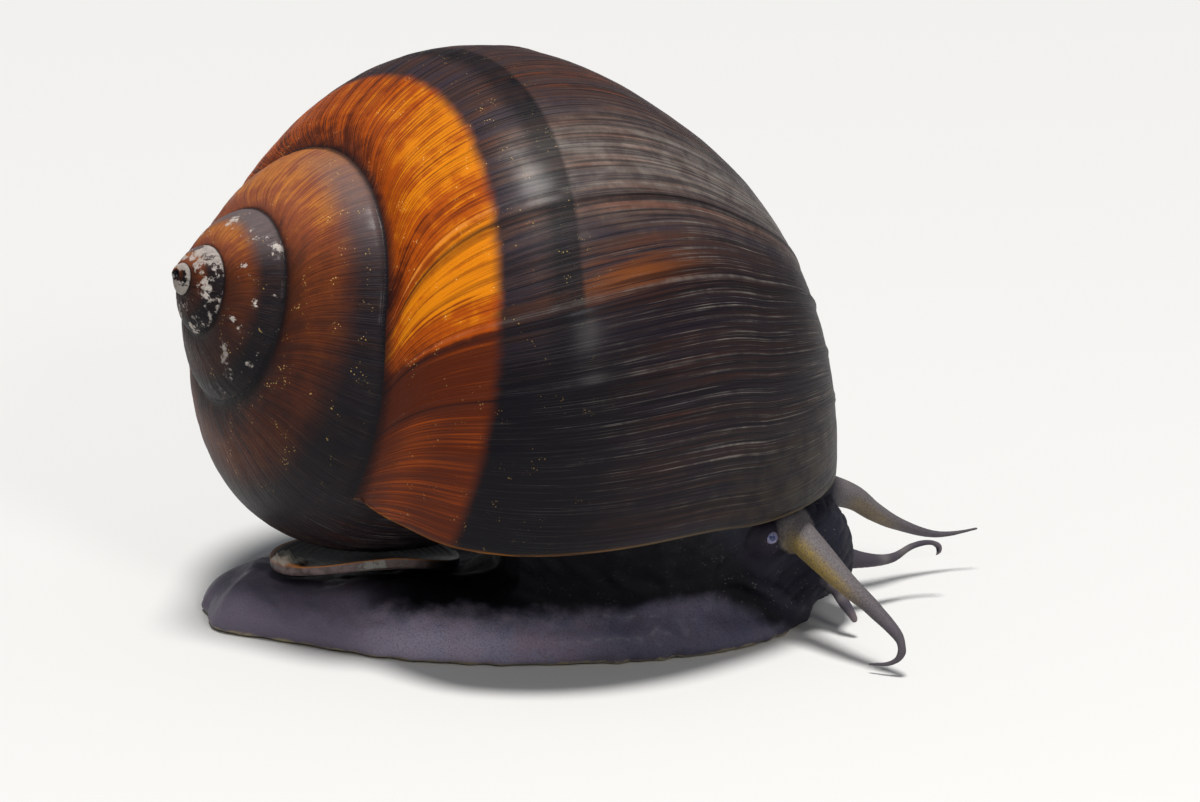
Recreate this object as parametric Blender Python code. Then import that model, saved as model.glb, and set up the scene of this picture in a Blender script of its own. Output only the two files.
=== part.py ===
"""Apple snail at life size, crawling, head to +X, its right side towards -Y.

The origin is on the floor, in the middle of the sole. Lengths in this file are millimetres,
and mesh_object turns them into metres. The shell is one logarithmic coil, the soft body is
lofted along short centre lines, and thin gaps part it into the pieces that a person would name.
"""

import math

import bmesh
import bpy
import numpy as np
from mathutils import Vector

MM = 0.001
TURN = 2.0 * math.pi
GAP = 0.3

# The coil: each half plane through the axis holds the same whorl outline, scaled by growth.
GROWTH = 0.0902
EARLY_GROWTH = 0.0021
WHORL_HALF_WIDTH = 25.85
WHORL_HALF_HEIGHT = 23.45
WHORL_SQUARENESS = 2.494
WHORL_TILT = -0.2377
WHORL_OUT = 2.0
WHORL_DOWN = 32.19
APEX = np.array([-25.18, -10.0, 30.78])
AXIS_TURN = 0.5243
AXIS_RISE = 0.3547
WHORLS = 5
ROWS_PER_WHORL = 36
SPIRE_COLUMNS = 7
BASE_COLUMNS = 7
UMBILICUS_ANGLE = -1.42
UMBILICUS_DEPTH = 2.5
APEX_CAP = 0.25

# The lip: where the last whorl ends, as an angle round the axis at each angle t of the outline.
LIP_END = 0.84
LIP_EASE = 1.5
LIP_LEAN = (0.194, 0.308, 0.061, 0.010)
LIP_HOOK = 0.196
LIP_HOOK_T = 1.34
LIP_HOOK_SPREAD = 0.1
# The last quarter whorl slips down the whorl before it by this much for each radian.
SUTURE_DROP = 0.24
SUTURE_DROP_START = -0.1
SUTURE_DROP_EASE = 0.05
SHOULDER_DROP_SHARE = 0.34
SUTURE_SPREAD = 0.25

# Rings inside the mouth: angle back from the lip, then how far off its outer and inner walls.
THROAT_RINGS = [(0.015, 0.5, 0.05), (0.1, 0.8, 0.1), (0.32, 1.1, 0.1)]
# The mantle edge has two more: clear of the corners of the mouth, and back on its inner side.
MANTLE_RINGS = [
    (0.07, 1.2, 0.6, 0.3, 0.16),
    (0.12, 1.3, 0.65, 0.3, 0.15),
    (0.24, 1.7, 0.8, 0.35, 0.08),
]
MANTLE_BULGE = 0.6
THROAT_BULGE = 1.0
COIL_CLEARANCE = 0.4
COIL_CLEARANCE_END = -2.0

# The sole and the back of the foot.
SOLE_FRONT = 25.0
SOLE_BACK = 24.3
SOLE_NEAR = 14.6
SOLE_FAR = 13.6
SOLE_FRONT_ROUNDNESS = 2.35
SOLE_BACK_ROUNDNESS = 1.62
SOLE_EDGE = 1.3
SOLE_EDGE_ANGLE = 0.7
FOOT_BACK = 4.4
FOOT_BACK_PLAN = 0.62
FOOT_BACK_RISE = 0.85
# The near flank swells beside the plate, and the back falls away over the front of the foot.
FLANK_SWELL = 2.2
FLANK_SWELL_CENTRE = (-7.0, -6.5)
FLANK_SWELL_SPREAD = (11.0, 4.0)
FRONT_FALL = 0.42
FRONT_FALL_START = 14.0
FRONT_FALL_LENGTH = 11.0
TAIL_CUT = -9.0
FRONT_CUT = 12.0

# The horny plate on the back of the foot, dished to lie under the earlier whorls.
OPERCULUM_CENTRE = (-11.0, -1.0)
OPERCULUM_HALF_LENGTH = 7.7
OPERCULUM_HALF_WIDTH = 7.6
OPERCULUM_THICKNESS = 0.8
PLATE_LOW = 4.6
PLATE_SPOT = (-8.0, 2.5)
PLATE_CURVE_LONG = 0.0033
PLATE_CURVE_ACROSS = 0.0225
PLATE_FLATTENING = 0.00125

# Centre lines of the soft body: x, y, z, half width, half height.
TRUNK_LINE = [
    (8.6, -2.2, 2.4, 11.6, 9.6),
    (9.0, -3.4, 6.0, 11.2, 9.4),
    (9.8, -5.2, 10.0, 10.8, 10.4),
    (11.8, -6.2, 13.4, 9.8, 11.2),
]
HEAD_LINE = [
    (14.5, -3.6, 7.6, 5.2, 3.4),
    (19.5, -2.6, 7.9, 6.3, 4.0),
    (23.0, -2.4, 8.3, 5.9, 3.3),
    (25.4, -2.7, 7.1, 4.6, 2.6),
    (26.3, -3.1, 5.2, 3.2, 2.0),
    (26.4, -3.2, 2.9, 2.3, 1.5),
]
NECK_END = 0.43
HEAD_END = 0.72

# Feelers: x, y, z and radius along each centre line.
TENTACLE_RIGHT = [
    (21.6, -5.2, 10.2, 1.45),
    (24.6, -9.3, 8.3, 1.25),
    (27.8, -13.3, 6.6, 0.95),
    (30.2, -15.9, 5.2, 0.66),
    (31.1, -16.6, 3.5, 0.45),
    (30.8, -16.4, 2.0, 0.32),
    (28.8, -15.4, 0.8, 0.26),
]
TENTACLE_LEFT = [
    (25.4, 0.8, 10.0, 1.45),
    (28.6, 4.2, 8.3, 1.1),
    (30.4, 5.5, 6.7, 0.85),
    (32.9, 7.7, 4.8, 0.58),
    (35.5, 9.3, 3.6, 0.4),
    (37.2, 10.0, 3.4, 0.31),
    (39.5, 10.5, 3.7, 0.26),
]
PALP_RIGHT = [
    (25.6, -4.4, 5.2, 0.85),
    (26.5, -5.7, 4.2, 0.68),
    (27.3, -6.5, 3.0, 0.52),
    (28.3, -7.2, 1.4, 0.33),
]
PALP_LEFT = [
    (26.6, -1.6, 5.2, 1.15),
    (29.2, 0.0, 4.3, 0.68),
    (31.7, 1.8, 3.9, 0.42),
    (34.8, 3.0, 4.7, 0.28),
    (35.9, 3.1, 4.4, 0.26),
    (35.2, 3.0, 3.7, 0.25),
]
EYESTALK_RIGHT = (20.9, -7.6, 9.1)
EYESTALK_LEFT = (24.9, 3.9, 9.1)
EYESTALK_RADIUS = 1.35
EYE_RIGHT = (21.4, -8.7, 9.0)
EYE_LEFT = (25.5, 5.0, 9.0)
EYE_RADIUS = 0.47

COLOURS = {
    "shell": (0.09, 0.045, 0.03, 0.3),
    "operculum": (0.32, 0.22, 0.13, 0.5),
    "skin": (0.05, 0.045, 0.07, 0.45),
    "eye": (0.45, 0.5, 0.6, 0.2),
}


def clear_scene():
    for item in list(bpy.data.objects):
        bpy.data.objects.remove(item, do_unlink=True)


def collection(name):
    made = bpy.data.collections.new(name)
    bpy.context.scene.collection.children.link(made)
    return made


def material(name):
    red, green, blue, rough = COLOURS[name]
    made = bpy.data.materials.new(name)
    made.use_nodes = True
    shader = made.node_tree.nodes["Principled BSDF"]
    shader.inputs["Base Color"].default_value = (red, green, blue, 1.0)
    shader.inputs["Roughness"].default_value = rough
    return made


def mesh_object(name, bm, finish=None):
    """Turns the faces of bm outwards and scales it to metres. With no finish it is a cutter."""
    bmesh.ops.remove_doubles(bm, verts=bm.verts, dist=1e-4)
    bmesh.ops.recalc_face_normals(bm, faces=bm.faces)
    bmesh.ops.scale(bm, vec=(MM, MM, MM), verts=bm.verts)
    mesh = bpy.data.meshes.new(name)
    bm.to_mesh(mesh)
    bm.free()
    mesh.shade_smooth()
    made = bpy.data.objects.new(name, mesh)
    if finish is None:
        made.hide_render = True
        made.display_type = "WIRE"
        cutters.objects.link(made)
    else:
        mesh.materials.append(finish)
        parts.objects.link(made)
    return made


def cut(target, *cutters_used):
    for other in cutters_used:
        step = target.modifiers.new(other.name, "BOOLEAN")
        step.operation = "DIFFERENCE"
        step.object = other


def add_grid(bm, rows, columns, point):
    """A grid of rows by columns quads, with each corner moved to point(row, column)."""
    made = bmesh.ops.create_grid(bm, x_segments=rows, y_segments=columns, size=0.5)
    for corner in made["verts"]:
        row = round((corner.co.x + 0.5) * rows)
        column = round((corner.co.y + 0.5) * columns)
        corner.co = Vector(point(row, column))


def add_fan(bm, ring, centre):
    """Triangles from each side of a closed ring to one centre."""
    corners = [bm.verts.new(Vector(p)) for p in ring]
    middle = bm.verts.new(Vector(centre))
    for first, second in zip(corners, corners[1:] + corners[:1]):
        if (first.co - second.co).length > 1e-4:
            bm.faces.new((first, second, middle))


def smoothstep(value):
    value = min(max(value, 0.0), 1.0)
    return value * value * (3.0 - 2.0 * value)


# Shell

AXIS = np.array(
    [
        -math.cos(AXIS_RISE) * math.cos(AXIS_TURN),
        -math.cos(AXIS_RISE) * math.sin(AXIS_TURN),
        math.sin(AXIS_RISE),
    ]
)
SIDEWAYS = np.array([math.sin(AXIS_TURN), -math.cos(AXIS_TURN), 0.0])
DOWNWARDS = -np.cross(SIDEWAYS, AXIS) * (1 if np.cross(SIDEWAYS, AXIS)[2] > 0 else -1)


def whorl_scale(theta):
    return math.exp(GROWTH * theta - EARLY_GROWTH * min(theta + TURN, 0.0) ** 2)


def outline(t, grow=0.0):
    """Distance from the axis and height along it of the whorl outline at angle t, at scale one."""
    power = 2.0 / WHORL_SQUARENESS
    across = (WHORL_HALF_WIDTH + grow) * math.copysign(abs(math.cos(t)) ** power, math.cos(t))
    along = (WHORL_HALF_HEIGHT + grow) * math.copysign(abs(math.sin(t)) ** power, math.sin(t))
    turn_c, turn_s = math.cos(WHORL_TILT), math.sin(WHORL_TILT)
    return (
        WHORL_OUT + across * turn_c - along * turn_s,
        -WHORL_DOWN + across * turn_s + along * turn_c,
    )


def outline_angle(out, high):
    """The angle t of a place seen from the middle of the outline, and how far outside it the place is."""
    turn_c, turn_s = math.cos(WHORL_TILT), math.sin(WHORL_TILT)
    out, high = out - WHORL_OUT, high + WHORL_DOWN
    across = (out * turn_c + high * turn_s) / WHORL_HALF_WIDTH
    along = (-out * turn_s + high * turn_c) / WHORL_HALF_HEIGHT
    half = WHORL_SQUARENESS / 2.0
    t = math.atan2(
        math.copysign(abs(along) ** half, along), math.copysign(abs(across) ** half, across)
    )
    return t, abs(across) ** WHORL_SQUARENESS + abs(along) ** WHORL_SQUARENESS - 1.0


def suture(theta):
    """Where this whorl meets the one before: t on this whorl, and t on the earlier one."""
    ratio = whorl_scale(theta) / whorl_scale(theta - TURN)
    low, high = 1.0, 1.62
    for _ in range(30):
        middle = 0.5 * (low + high)
        out, up = outline(middle)
        if outline_angle(out * ratio, up * ratio)[1] > 0.0:
            low = middle
        else:
            high = middle
    out, up = outline(low)
    return low, outline_angle(out * ratio, up * ratio)[0]


def suture_drop(theta):
    """How far the whorl has slipped down the whorl before it, as an angle t."""
    late = theta - SUTURE_DROP_START
    return SUTURE_DROP * 0.5 * (late + math.hypot(late, SUTURE_DROP_EASE))


def shell_point(theta, t, grow=0.0):
    scale = whorl_scale(theta)
    out, high = outline(t, grow / scale)
    radial = math.cos(theta) * SIDEWAYS + math.sin(theta) * DOWNWARDS
    return APEX + scale * (out * radial + high * AXIS)


def lip_angle(t):
    """The lip leans back towards the base, with a small hook by the suture."""
    lean = sum(share * t**power for power, share in enumerate(LIP_LEAN))
    return lean + LIP_HOOK * math.exp((t - LIP_HOOK_T) / LIP_HOOK_SPREAD)


class Coil:
    """The outside of the coiled shell up to the angle end, with its wall moved outwards by grow."""

    def __init__(self, end, grow=0.0, leaning=False):
        self.end, self.grow, self.leaning = end, grow, leaning
        self.rows = WHORLS * ROWS_PER_WHORL
        self.first_open = self.rows - ROWS_PER_WHORL

    def angle(self, row):
        return self.end - (self.rows - row) * TURN / ROWS_PER_WHORL

    def lower_t(self, row):
        later = self.angle(min(row, self.first_open)) + TURN
        return suture(later)[1] - suture_drop(later)

    def upper_t(self, row):
        theta = self.angle(row)
        return suture(theta)[0] - SHOULDER_DROP_SHARE * suture_drop(theta)

    def lean(self, row, t):
        if not self.leaning:
            return 0.0
        ease = smoothstep(1.0 - (self.end - self.angle(row)) / LIP_EASE)
        return ease * max(lip_angle(self.upper_t(self.rows)) - lip_angle(t), 0.0)

    def point(self, row, t, back=0.0, inset=0.0):
        """A place on the wall of one row, at an angle t, moved back into the whorl and inwards."""
        theta = self.angle(row)
        place = shell_point(theta - self.lean(row, t) - back, t, self.grow - inset)
        if row < ROWS_PER_WHORL:
            return place
        top = self.upper_t(row)
        edge = shell_point(theta - TURN, self.lower_t(row - ROWS_PER_WHORL), self.grow)
        pull = edge - shell_point(theta, top, self.grow)
        return place + pull * math.exp(-(((top - t) / SUTURE_SPREAD) ** 2))

    def spire_point(self, row, column):
        if row >= ROWS_PER_WHORL and column == 0:
            return shell_point(
                self.angle(row) - TURN, self.lower_t(row - ROWS_PER_WHORL), self.grow
            )
        if row <= self.first_open and column == SPIRE_COLUMNS:
            return shell_point(self.angle(row), self.lower_t(row), self.grow)
        top, low = self.upper_t(row), self.lower_t(row)
        return self.point(row, top + (low - top) * column / SPIRE_COLUMNS)

    def base_t(self, row, column):
        low = self.lower_t(row)
        return low + (UMBILICUS_ANGLE - low) * column / BASE_COLUMNS

    def base_point(self, row, column):
        row += self.first_open
        if column == 0:
            return self.spire_point(row, SPIRE_COLUMNS)
        if row == self.first_open:
            return shell_point(self.angle(row), self.base_t(row, column), self.grow)
        return self.point(row, self.base_t(row, column))

    def add_outside(self, bm):
        add_grid(bm, self.rows, SPIRE_COLUMNS, self.spire_point)
        add_grid(bm, ROWS_PER_WHORL, BASE_COLUMNS, self.base_point)
        first = [self.spire_point(row, 0) for row in range(ROWS_PER_WHORL + 1)]
        first += [self.spire_point(0, column) for column in range(SPIRE_COLUMNS - 1, 0, -1)]
        add_fan(bm, first, np.mean(first, axis=0) + APEX_CAP * AXIS)
        pit = [self.base_point(row, BASE_COLUMNS) for row in range(ROWS_PER_WHORL + 1)]
        pit_middle = 0.5 * (pit[0] + pit[ROWS_PER_WHORL // 2])
        add_fan(bm, pit, pit_middle + UMBILICUS_DEPTH * AXIS)

    def mouth_ring(self, back=0.0, wall=0.0, parietal=0.0, corner=0.1, recess=0.0):
        """The closed edge of the mouth: down the lip, then back up the wall of the whorl before.

        back, wall and parietal move it into the whorl and off its walls, corner keeps it out of
        the sharp corners at the suture and the navel, and recess lifts its inner side.
        """
        top, low = self.upper_t(self.rows), self.lower_t(self.rows)
        steps = [top + (low - top) * column / SPIRE_COLUMNS for column in range(SPIRE_COLUMNS)]
        steps += [self.base_t(self.rows, column) for column in range(BASE_COLUMNS + 1)]
        theta = self.angle(self.first_open)
        inner_steps = [self.base_t(self.first_open, c) for c in range(BASE_COLUMNS, -1, -1)]
        if not wall:
            ring = [self.spire_point(self.rows, 0)]
            ring += [self.point(self.rows, t) for t in steps[1:]]
            return ring + [shell_point(theta, t, self.grow) for t in inner_steps]
        ring = []
        for t in steps:
            share = (t - UMBILICUS_ANGLE) / (top - UMBILICUS_ANGLE)
            t = UMBILICUS_ANGLE + corner + share * (top - UMBILICUS_ANGLE - 2.0 * corner)
            ring.append(self.point(self.rows, t, back, wall))
        for t in inner_steps:
            share = (t - UMBILICUS_ANGLE) / (low - UMBILICUS_ANGLE)
            t = UMBILICUS_ANGLE + corner + share * (low - UMBILICUS_ANGLE - 2.0 * corner)
            ring.append(shell_point(theta - back - recess, t, self.grow + parietal))
        return ring


def add_rings(bm, rings):
    """A closed skin through a list of closed rings."""
    around = len(rings[0])
    add_grid(bm, len(rings) - 1, around, lambda row, column: rings[row][column % around])


def above_middle(ring, height):
    return np.mean(ring, axis=0) + np.array([0.0, 0.0, height])


def make_shell():
    coil = Coil(LIP_END, leaning=True)
    bm = bmesh.new()
    coil.add_outside(bm)
    rings = [coil.mouth_ring()] + [coil.mouth_ring(*ring) for ring in THROAT_RINGS]
    add_rings(bm, rings)
    add_fan(bm, rings[-1], above_middle(rings[-1], THROAT_BULGE))
    return mesh_object("shell", bm, finishes["shell"])


def mantle_bmesh(grow=0.0):
    """The mantle edge that fills the mouth of the shell, moved outwards by grow."""
    coil = Coil(LIP_END, leaning=True)
    rings = [
        coil.mouth_ring(back, outer - grow, inner - grow, corner, recess)
        for back, outer, inner, corner, recess in MANTLE_RINGS
    ]
    rings[0] = [place - np.array([0.0, 0.0, grow]) for place in rings[0]]
    bm = bmesh.new()
    add_rings(bm, rings)
    add_fan(bm, rings[0], above_middle(rings[0], MANTLE_BULGE))
    add_fan(bm, rings[-1], above_middle(rings[-1], MANTLE_BULGE))
    return bm


# Soft body


def plate_top(x, y):
    """Height of the upper face of the horny plate."""
    along, across = x - PLATE_SPOT[0], y - PLATE_SPOT[1]
    curve = PLATE_CURVE_ACROSS + PLATE_FLATTENING * min(along, 0.0)
    return PLATE_LOW + PLATE_CURVE_LONG * along * along + curve * across * across


def foot_radius(angle):
    """Plan outline of the sole, as a distance from the origin in one direction."""
    cosine, sine = math.cos(angle), math.sin(angle)
    length = SOLE_FRONT if cosine > 0.0 else SOLE_BACK
    width = SOLE_FAR if sine > 0.0 else SOLE_NEAR
    power = SOLE_FRONT_ROUNDNESS if cosine > 0.0 else SOLE_BACK_ROUNDNESS
    return (abs(cosine / length) ** power + abs(sine / width) ** power) ** (-1.0 / power)


def foot_back(x, y):
    """Height of the back of the foot, dished where the plate lies on it."""
    along = (x - FLANK_SWELL_CENTRE[0]) / FLANK_SWELL_SPREAD[0]
    across = (y - FLANK_SWELL_CENTRE[1]) / FLANK_SWELL_SPREAD[1]
    rise = FOOT_BACK + FLANK_SWELL * math.exp(-along * along - across * across)
    front = 1.0 - FRONT_FALL * smoothstep((x - FRONT_FALL_START) / FRONT_FALL_LENGTH)
    return min(rise * front, plate_top(x, y) - OPERCULUM_THICKNESS - GAP)


def foot_bmesh(grow=0.0):
    """A ball drawn out to the foot: the flat sole below, rounded flanks, the back above."""
    bm = bmesh.new()
    bmesh.ops.create_uvsphere(bm, u_segments=48, v_segments=16, radius=1.0)
    for corner in bm.verts:
        angle = math.atan2(corner.co.y, corner.co.x)
        height = math.asin(max(-1.0, min(1.0, corner.co.z)))
        reach = foot_radius(angle) + grow
        if height >= 0.0:
            share = math.cos(height) ** FOOT_BACK_PLAN
            rise = math.sin(height) ** FOOT_BACK_RISE
            x, y = reach * share * math.cos(angle), reach * share * math.sin(angle)
            corner.co = (x, y, SOLE_EDGE + (foot_back(x, y) + grow - SOLE_EDGE) * rise)
        else:
            fold = min(-height / SOLE_EDGE_ANGLE, 1.0)
            share = reach - SOLE_EDGE * (1.0 - math.sqrt(max(1.0 - fold * fold, 0.0)))
            if fold >= 1.0:
                share = (reach - SOLE_EDGE) * math.cos(height) / math.cos(SOLE_EDGE_ANGLE)
            corner.co = (
                share * math.cos(angle),
                share * math.sin(angle),
                SOLE_EDGE * (1.0 - fold) - grow,
            )
    return bm


def keep_between(bm, start=None, end=None):
    """Keeps what lies between two planes, half a gap clear of each, and closes the two cuts.

    A plane is a place and the way along the body there.
    """
    bmesh.ops.remove_doubles(bm, verts=bm.verts, dist=1e-4)
    for plane, side in ((start, -1.0), (end, 1.0)):
        if plane is None:
            continue
        place, way = np.array(plane[0]), np.array(plane[1])
        way = side * way / np.linalg.norm(way)
        everything = list(bm.verts) + list(bm.edges) + list(bm.faces)
        made = bmesh.ops.bisect_plane(
            bm,
            geom=everything,
            plane_co=Vector(place - 0.5 * GAP * way),
            plane_no=Vector(way),
            clear_outer=True,
        )
        edges = [item for item in made["geom_cut"] if isinstance(item, bmesh.types.BMEdge)]
        bmesh.ops.edgeloop_fill(bm, edges=edges)
    return bm


def smooth_line(stations, count):
    """Evenly stepped places on a smooth curve through the stations, with their sizes."""
    stations = np.array(stations, float)
    steps = np.linalg.norm(np.diff(stations[:, :3], axis=0), axis=1) ** 0.5
    knots = np.concatenate([[0.0], np.cumsum(steps)])
    slopes = np.gradient(stations, knots, axis=0)
    fine = np.linspace(0.0, knots[-1], 400)
    spans = np.clip(np.searchsorted(knots, fine, side="right") - 1, 0, len(knots) - 2)
    width = (knots[spans + 1] - knots[spans])[:, None]
    share = (fine[:, None] - knots[spans][:, None]) / width
    curve = (
        (2 * share**3 - 3 * share**2 + 1) * stations[spans]
        + (share**3 - 2 * share**2 + share) * width * slopes[spans]
        + (-2 * share**3 + 3 * share**2) * stations[spans + 1]
        + (share**3 - share**2) * width * slopes[spans + 1]
    )
    length = np.concatenate([[0.0], np.cumsum(np.linalg.norm(np.diff(curve[:, :3], axis=0), axis=1))])
    even = np.linspace(0.0, length[-1], count)
    return np.stack([np.interp(even, length, curve[:, k]) for k in range(curve.shape[1])], axis=1)


def tube_bmesh(line, around=16, flat=None, grow=0.0, lift=(0.0, 0.0, 1.0), level=False):
    """A closed tube along a line of x, y, z, half width, half height.

    flat squares its sections, lift points at their tops, and level keeps them horizontal.
    """
    bm = bmesh.new()
    ways = np.gradient(line[:, :3], axis=0)
    if level:
        ways = ways * np.array([0.0, 0.0, 1.0])
    ways /= np.linalg.norm(ways, axis=1)[:, None]
    sides = [np.cross(np.array(lift), ways[0])]
    for way in ways:
        side = sides[-1] - way * np.dot(sides[-1], way)
        sides.append(side / np.linalg.norm(side))
    sides = np.array(sides[1:])
    tops = np.cross(ways, sides)
    power = 2.0 / (flat or 2.0)
    last = len(line) - 1

    def point(row, column):
        angle = TURN * column / around
        c, s = math.cos(angle), math.sin(angle)
        wide = (line[row, 3] + grow) * math.copysign(abs(c) ** power, c)
        tall = (line[row, -1] + grow) * math.copysign(abs(s) ** power, s)
        push = grow * ((row == last) - (row == 0))
        return line[row, :3] + wide * sides[row] + tall * tops[row] + push * ways[row]

    add_grid(bm, last, around, point)
    bmesh.ops.remove_doubles(bm, verts=bm.verts, dist=1e-4)
    open_edges = [edge for edge in bm.edges if edge.is_boundary]
    bmesh.ops.holes_fill(bm, edges=open_edges, sides=0)
    return bm


def trunk_bmesh(grow=0.0):
    line = smooth_line(TRUNK_LINE, 9)
    return tube_bmesh(line, around=28, flat=2.3, grow=grow, lift=(0.0, 1.0, 0.0), level=True)


def head_bmesh(grow=0.0):
    """Neck, head and snout in one."""
    return tube_bmesh(smooth_line(HEAD_LINE, 20), around=24, flat=2.2, grow=grow)


def head_plane(share):
    """The plane across the neck and head at a share of the length of their line."""
    line = smooth_line(HEAD_LINE, 101)
    spot = round(share * 100)
    return line[spot, :3], line[spot + 4, :3] - line[spot - 4, :3]


def add_feeler(name, stations, pieces, clear):
    """A tapering feeler in equal lengths with gaps between them. clear is cut from the first."""
    line = smooth_line(stations, 301)
    length = np.linalg.norm(np.diff(line[:, :3], axis=0), axis=1).sum()
    half_gap = 0.5 * GAP / length
    for number, piece in enumerate(pieces):
        start = number / len(pieces) + (half_gap if number else 0.0)
        end = (number + 1) / len(pieces) - (half_gap if number + 1 < len(pieces) else 0.0)
        picked = np.linspace(start, end, 9) * 300
        part = np.stack([np.interp(picked, np.arange(301), line[:, k]) for k in range(4)], axis=1)
        made = mesh_object(f"{name}_{piece}", tube_bmesh(part, around=10), finishes["skin"])
        if number == 0:
            cut(made, *clear)


def ball_bmesh(centre, radius, around=14):
    bm = bmesh.new()
    bmesh.ops.create_uvsphere(bm, u_segments=around, v_segments=around * 2 // 3, radius=radius)
    bmesh.ops.translate(bm, vec=centre, verts=bm.verts)
    return bm


def make_operculum():
    """An oval plate: a grid on the dished face, rounded to an ellipse, then given its thickness."""
    bm = bmesh.new()
    bmesh.ops.create_circle(bm, cap_ends=True, cap_tris=True, segments=28, radius=1.0)
    bmesh.ops.subdivide_edges(
        bm, edges=[e for e in bm.edges if not e.is_boundary], cuts=3, use_grid_fill=True
    )
    for corner in bm.verts:
        x = OPERCULUM_CENTRE[0] + OPERCULUM_HALF_LENGTH * corner.co.x
        y = OPERCULUM_CENTRE[1] + OPERCULUM_HALF_WIDTH * corner.co.y
        corner.co = (x, y, plate_top(x, y))
    made = bmesh.ops.extrude_face_region(bm, geom=list(bm.faces))
    lower = [item for item in made["geom"] if isinstance(item, bmesh.types.BMVert)]
    bmesh.ops.translate(bm, vec=(0.0, 0.0, -OPERCULUM_THICKNESS), verts=lower)
    return mesh_object("operculum", bm, finishes["operculum"])


def make_body():
    skin = finishes["skin"]
    foot_clear = mesh_object("clear_foot", foot_bmesh(GAP))
    trunk_clear = mesh_object("clear_trunk", trunk_bmesh(GAP))
    head_clear = mesh_object("clear_head", head_bmesh(GAP))
    mantle_clear = mesh_object("clear_mantle", mantle_bmesh(GAP))
    coil_bm = bmesh.new()
    early = Coil(COIL_CLEARANCE_END, grow=COIL_CLEARANCE)
    early.add_outside(coil_bm)
    face = [early.spire_point(early.rows, column) for column in range(SPIRE_COLUMNS + 1)]
    face += [early.base_point(ROWS_PER_WHORL, column) for column in range(1, BASE_COLUMNS + 1)]
    face += [early.base_point(0, column) for column in range(BASE_COLUMNS, 0, -1)]
    add_fan(coil_bm, face, np.mean(face, axis=0))
    coil_clear = mesh_object("clear_coil", coil_bm)

    tail_plane = ((TAIL_CUT, 0.0, 0.0), (1.0, 0.0, 0.0))
    front_plane = ((FRONT_CUT, 0.0, 0.0), (1.0, 0.0, 0.0))
    mesh_object("foot_tail", keep_between(foot_bmesh(), None, tail_plane), skin)
    mesh_object("foot_middle", keep_between(foot_bmesh(), tail_plane, front_plane), skin)
    mesh_object("foot_front", keep_between(foot_bmesh(), front_plane, None), skin)
    mesh_object("mantle", mantle_bmesh(), skin)
    trunk = mesh_object("trunk", trunk_bmesh(), skin)
    cut(trunk, foot_clear, mantle_clear, coil_clear)

    neck_plane, head_end_plane = head_plane(NECK_END), head_plane(HEAD_END)
    neck = mesh_object("neck", keep_between(head_bmesh(), None, neck_plane), skin)
    cut(neck, trunk_clear, foot_clear)
    head = mesh_object("head", keep_between(head_bmesh(), neck_plane, head_end_plane), skin)
    cut(head, trunk_clear, foot_clear)
    snout = mesh_object("snout", keep_between(head_bmesh(), head_end_plane, None), skin)
    cut(snout, foot_clear)

    lengths = ("base", "middle", "tip")
    add_feeler("tentacle_right", TENTACLE_RIGHT, lengths, [head_clear])
    add_feeler("tentacle_left", TENTACLE_LEFT, lengths, [head_clear])
    add_feeler("palp_right", PALP_RIGHT, ("base", "tip"), [head_clear])
    add_feeler("palp_left", PALP_LEFT, ("base", "tip"), [head_clear])
    for side, stalk, eye, stations in (
        ("right", EYESTALK_RIGHT, EYE_RIGHT, TENTACLE_RIGHT),
        ("left", EYESTALK_LEFT, EYE_LEFT, TENTACLE_LEFT),
    ):
        feeler_clear = mesh_object(
            f"clear_tentacle_{side}",
            tube_bmesh(smooth_line(stations, 24), around=10, grow=GAP),
        )
        socket = mesh_object(f"clear_eye_{side}", ball_bmesh(eye, EYE_RADIUS + GAP * 0.5))
        cut(head, socket)
        cut(neck, socket)
        bulb = mesh_object(f"eyestalk_{side}", ball_bmesh(stalk, EYESTALK_RADIUS), skin)
        cut(bulb, head_clear, feeler_clear, socket)
        mesh_object(f"eye_{side}", ball_bmesh(eye, EYE_RADIUS), finishes["eye"])


clear_scene()
parts = collection("apple_snail")
cutters = collection("cutters")
finishes = {name: material(name) for name in COLOURS}
make_shell()
make_operculum()
make_body()
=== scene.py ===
# %% [markdown]
# # A still, life-size apple snail
#
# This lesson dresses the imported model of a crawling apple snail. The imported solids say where
# everything is; here each gets its finished surface. The shell is one coil grown by a rule, the
# flesh is one unbroken skin, and the horny plate and the two eyes are pieces of their own.
# Lengths are in millimetres while a piece is being shaped, and become metres at the end.

# %% Load the frame
import math

import bmesh
import bpy
import numpy as np
from mathutils import Matrix, Vector


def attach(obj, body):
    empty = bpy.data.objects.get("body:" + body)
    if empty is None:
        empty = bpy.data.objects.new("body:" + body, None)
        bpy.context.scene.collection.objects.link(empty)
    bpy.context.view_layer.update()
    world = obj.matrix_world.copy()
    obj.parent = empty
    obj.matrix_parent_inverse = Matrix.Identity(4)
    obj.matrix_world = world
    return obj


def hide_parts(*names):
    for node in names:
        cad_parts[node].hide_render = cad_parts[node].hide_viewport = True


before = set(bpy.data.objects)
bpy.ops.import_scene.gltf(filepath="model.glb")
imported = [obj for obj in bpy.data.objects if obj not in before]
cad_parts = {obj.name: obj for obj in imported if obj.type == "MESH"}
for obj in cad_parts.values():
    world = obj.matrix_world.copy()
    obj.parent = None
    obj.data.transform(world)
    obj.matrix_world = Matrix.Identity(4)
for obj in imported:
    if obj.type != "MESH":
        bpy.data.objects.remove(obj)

MM = 0.001
TURN = 2.0 * math.pi
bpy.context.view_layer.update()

# %% [markdown]
# ## The camera
#
# The photograph looks level across the tank from the snail's right side, a little from above,
# through a long lens. A long lens could be copied by its focal length, but only the angle of
# view and the distance change the picture, so those two are set, round a point in the middle
# of the frame.

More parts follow.
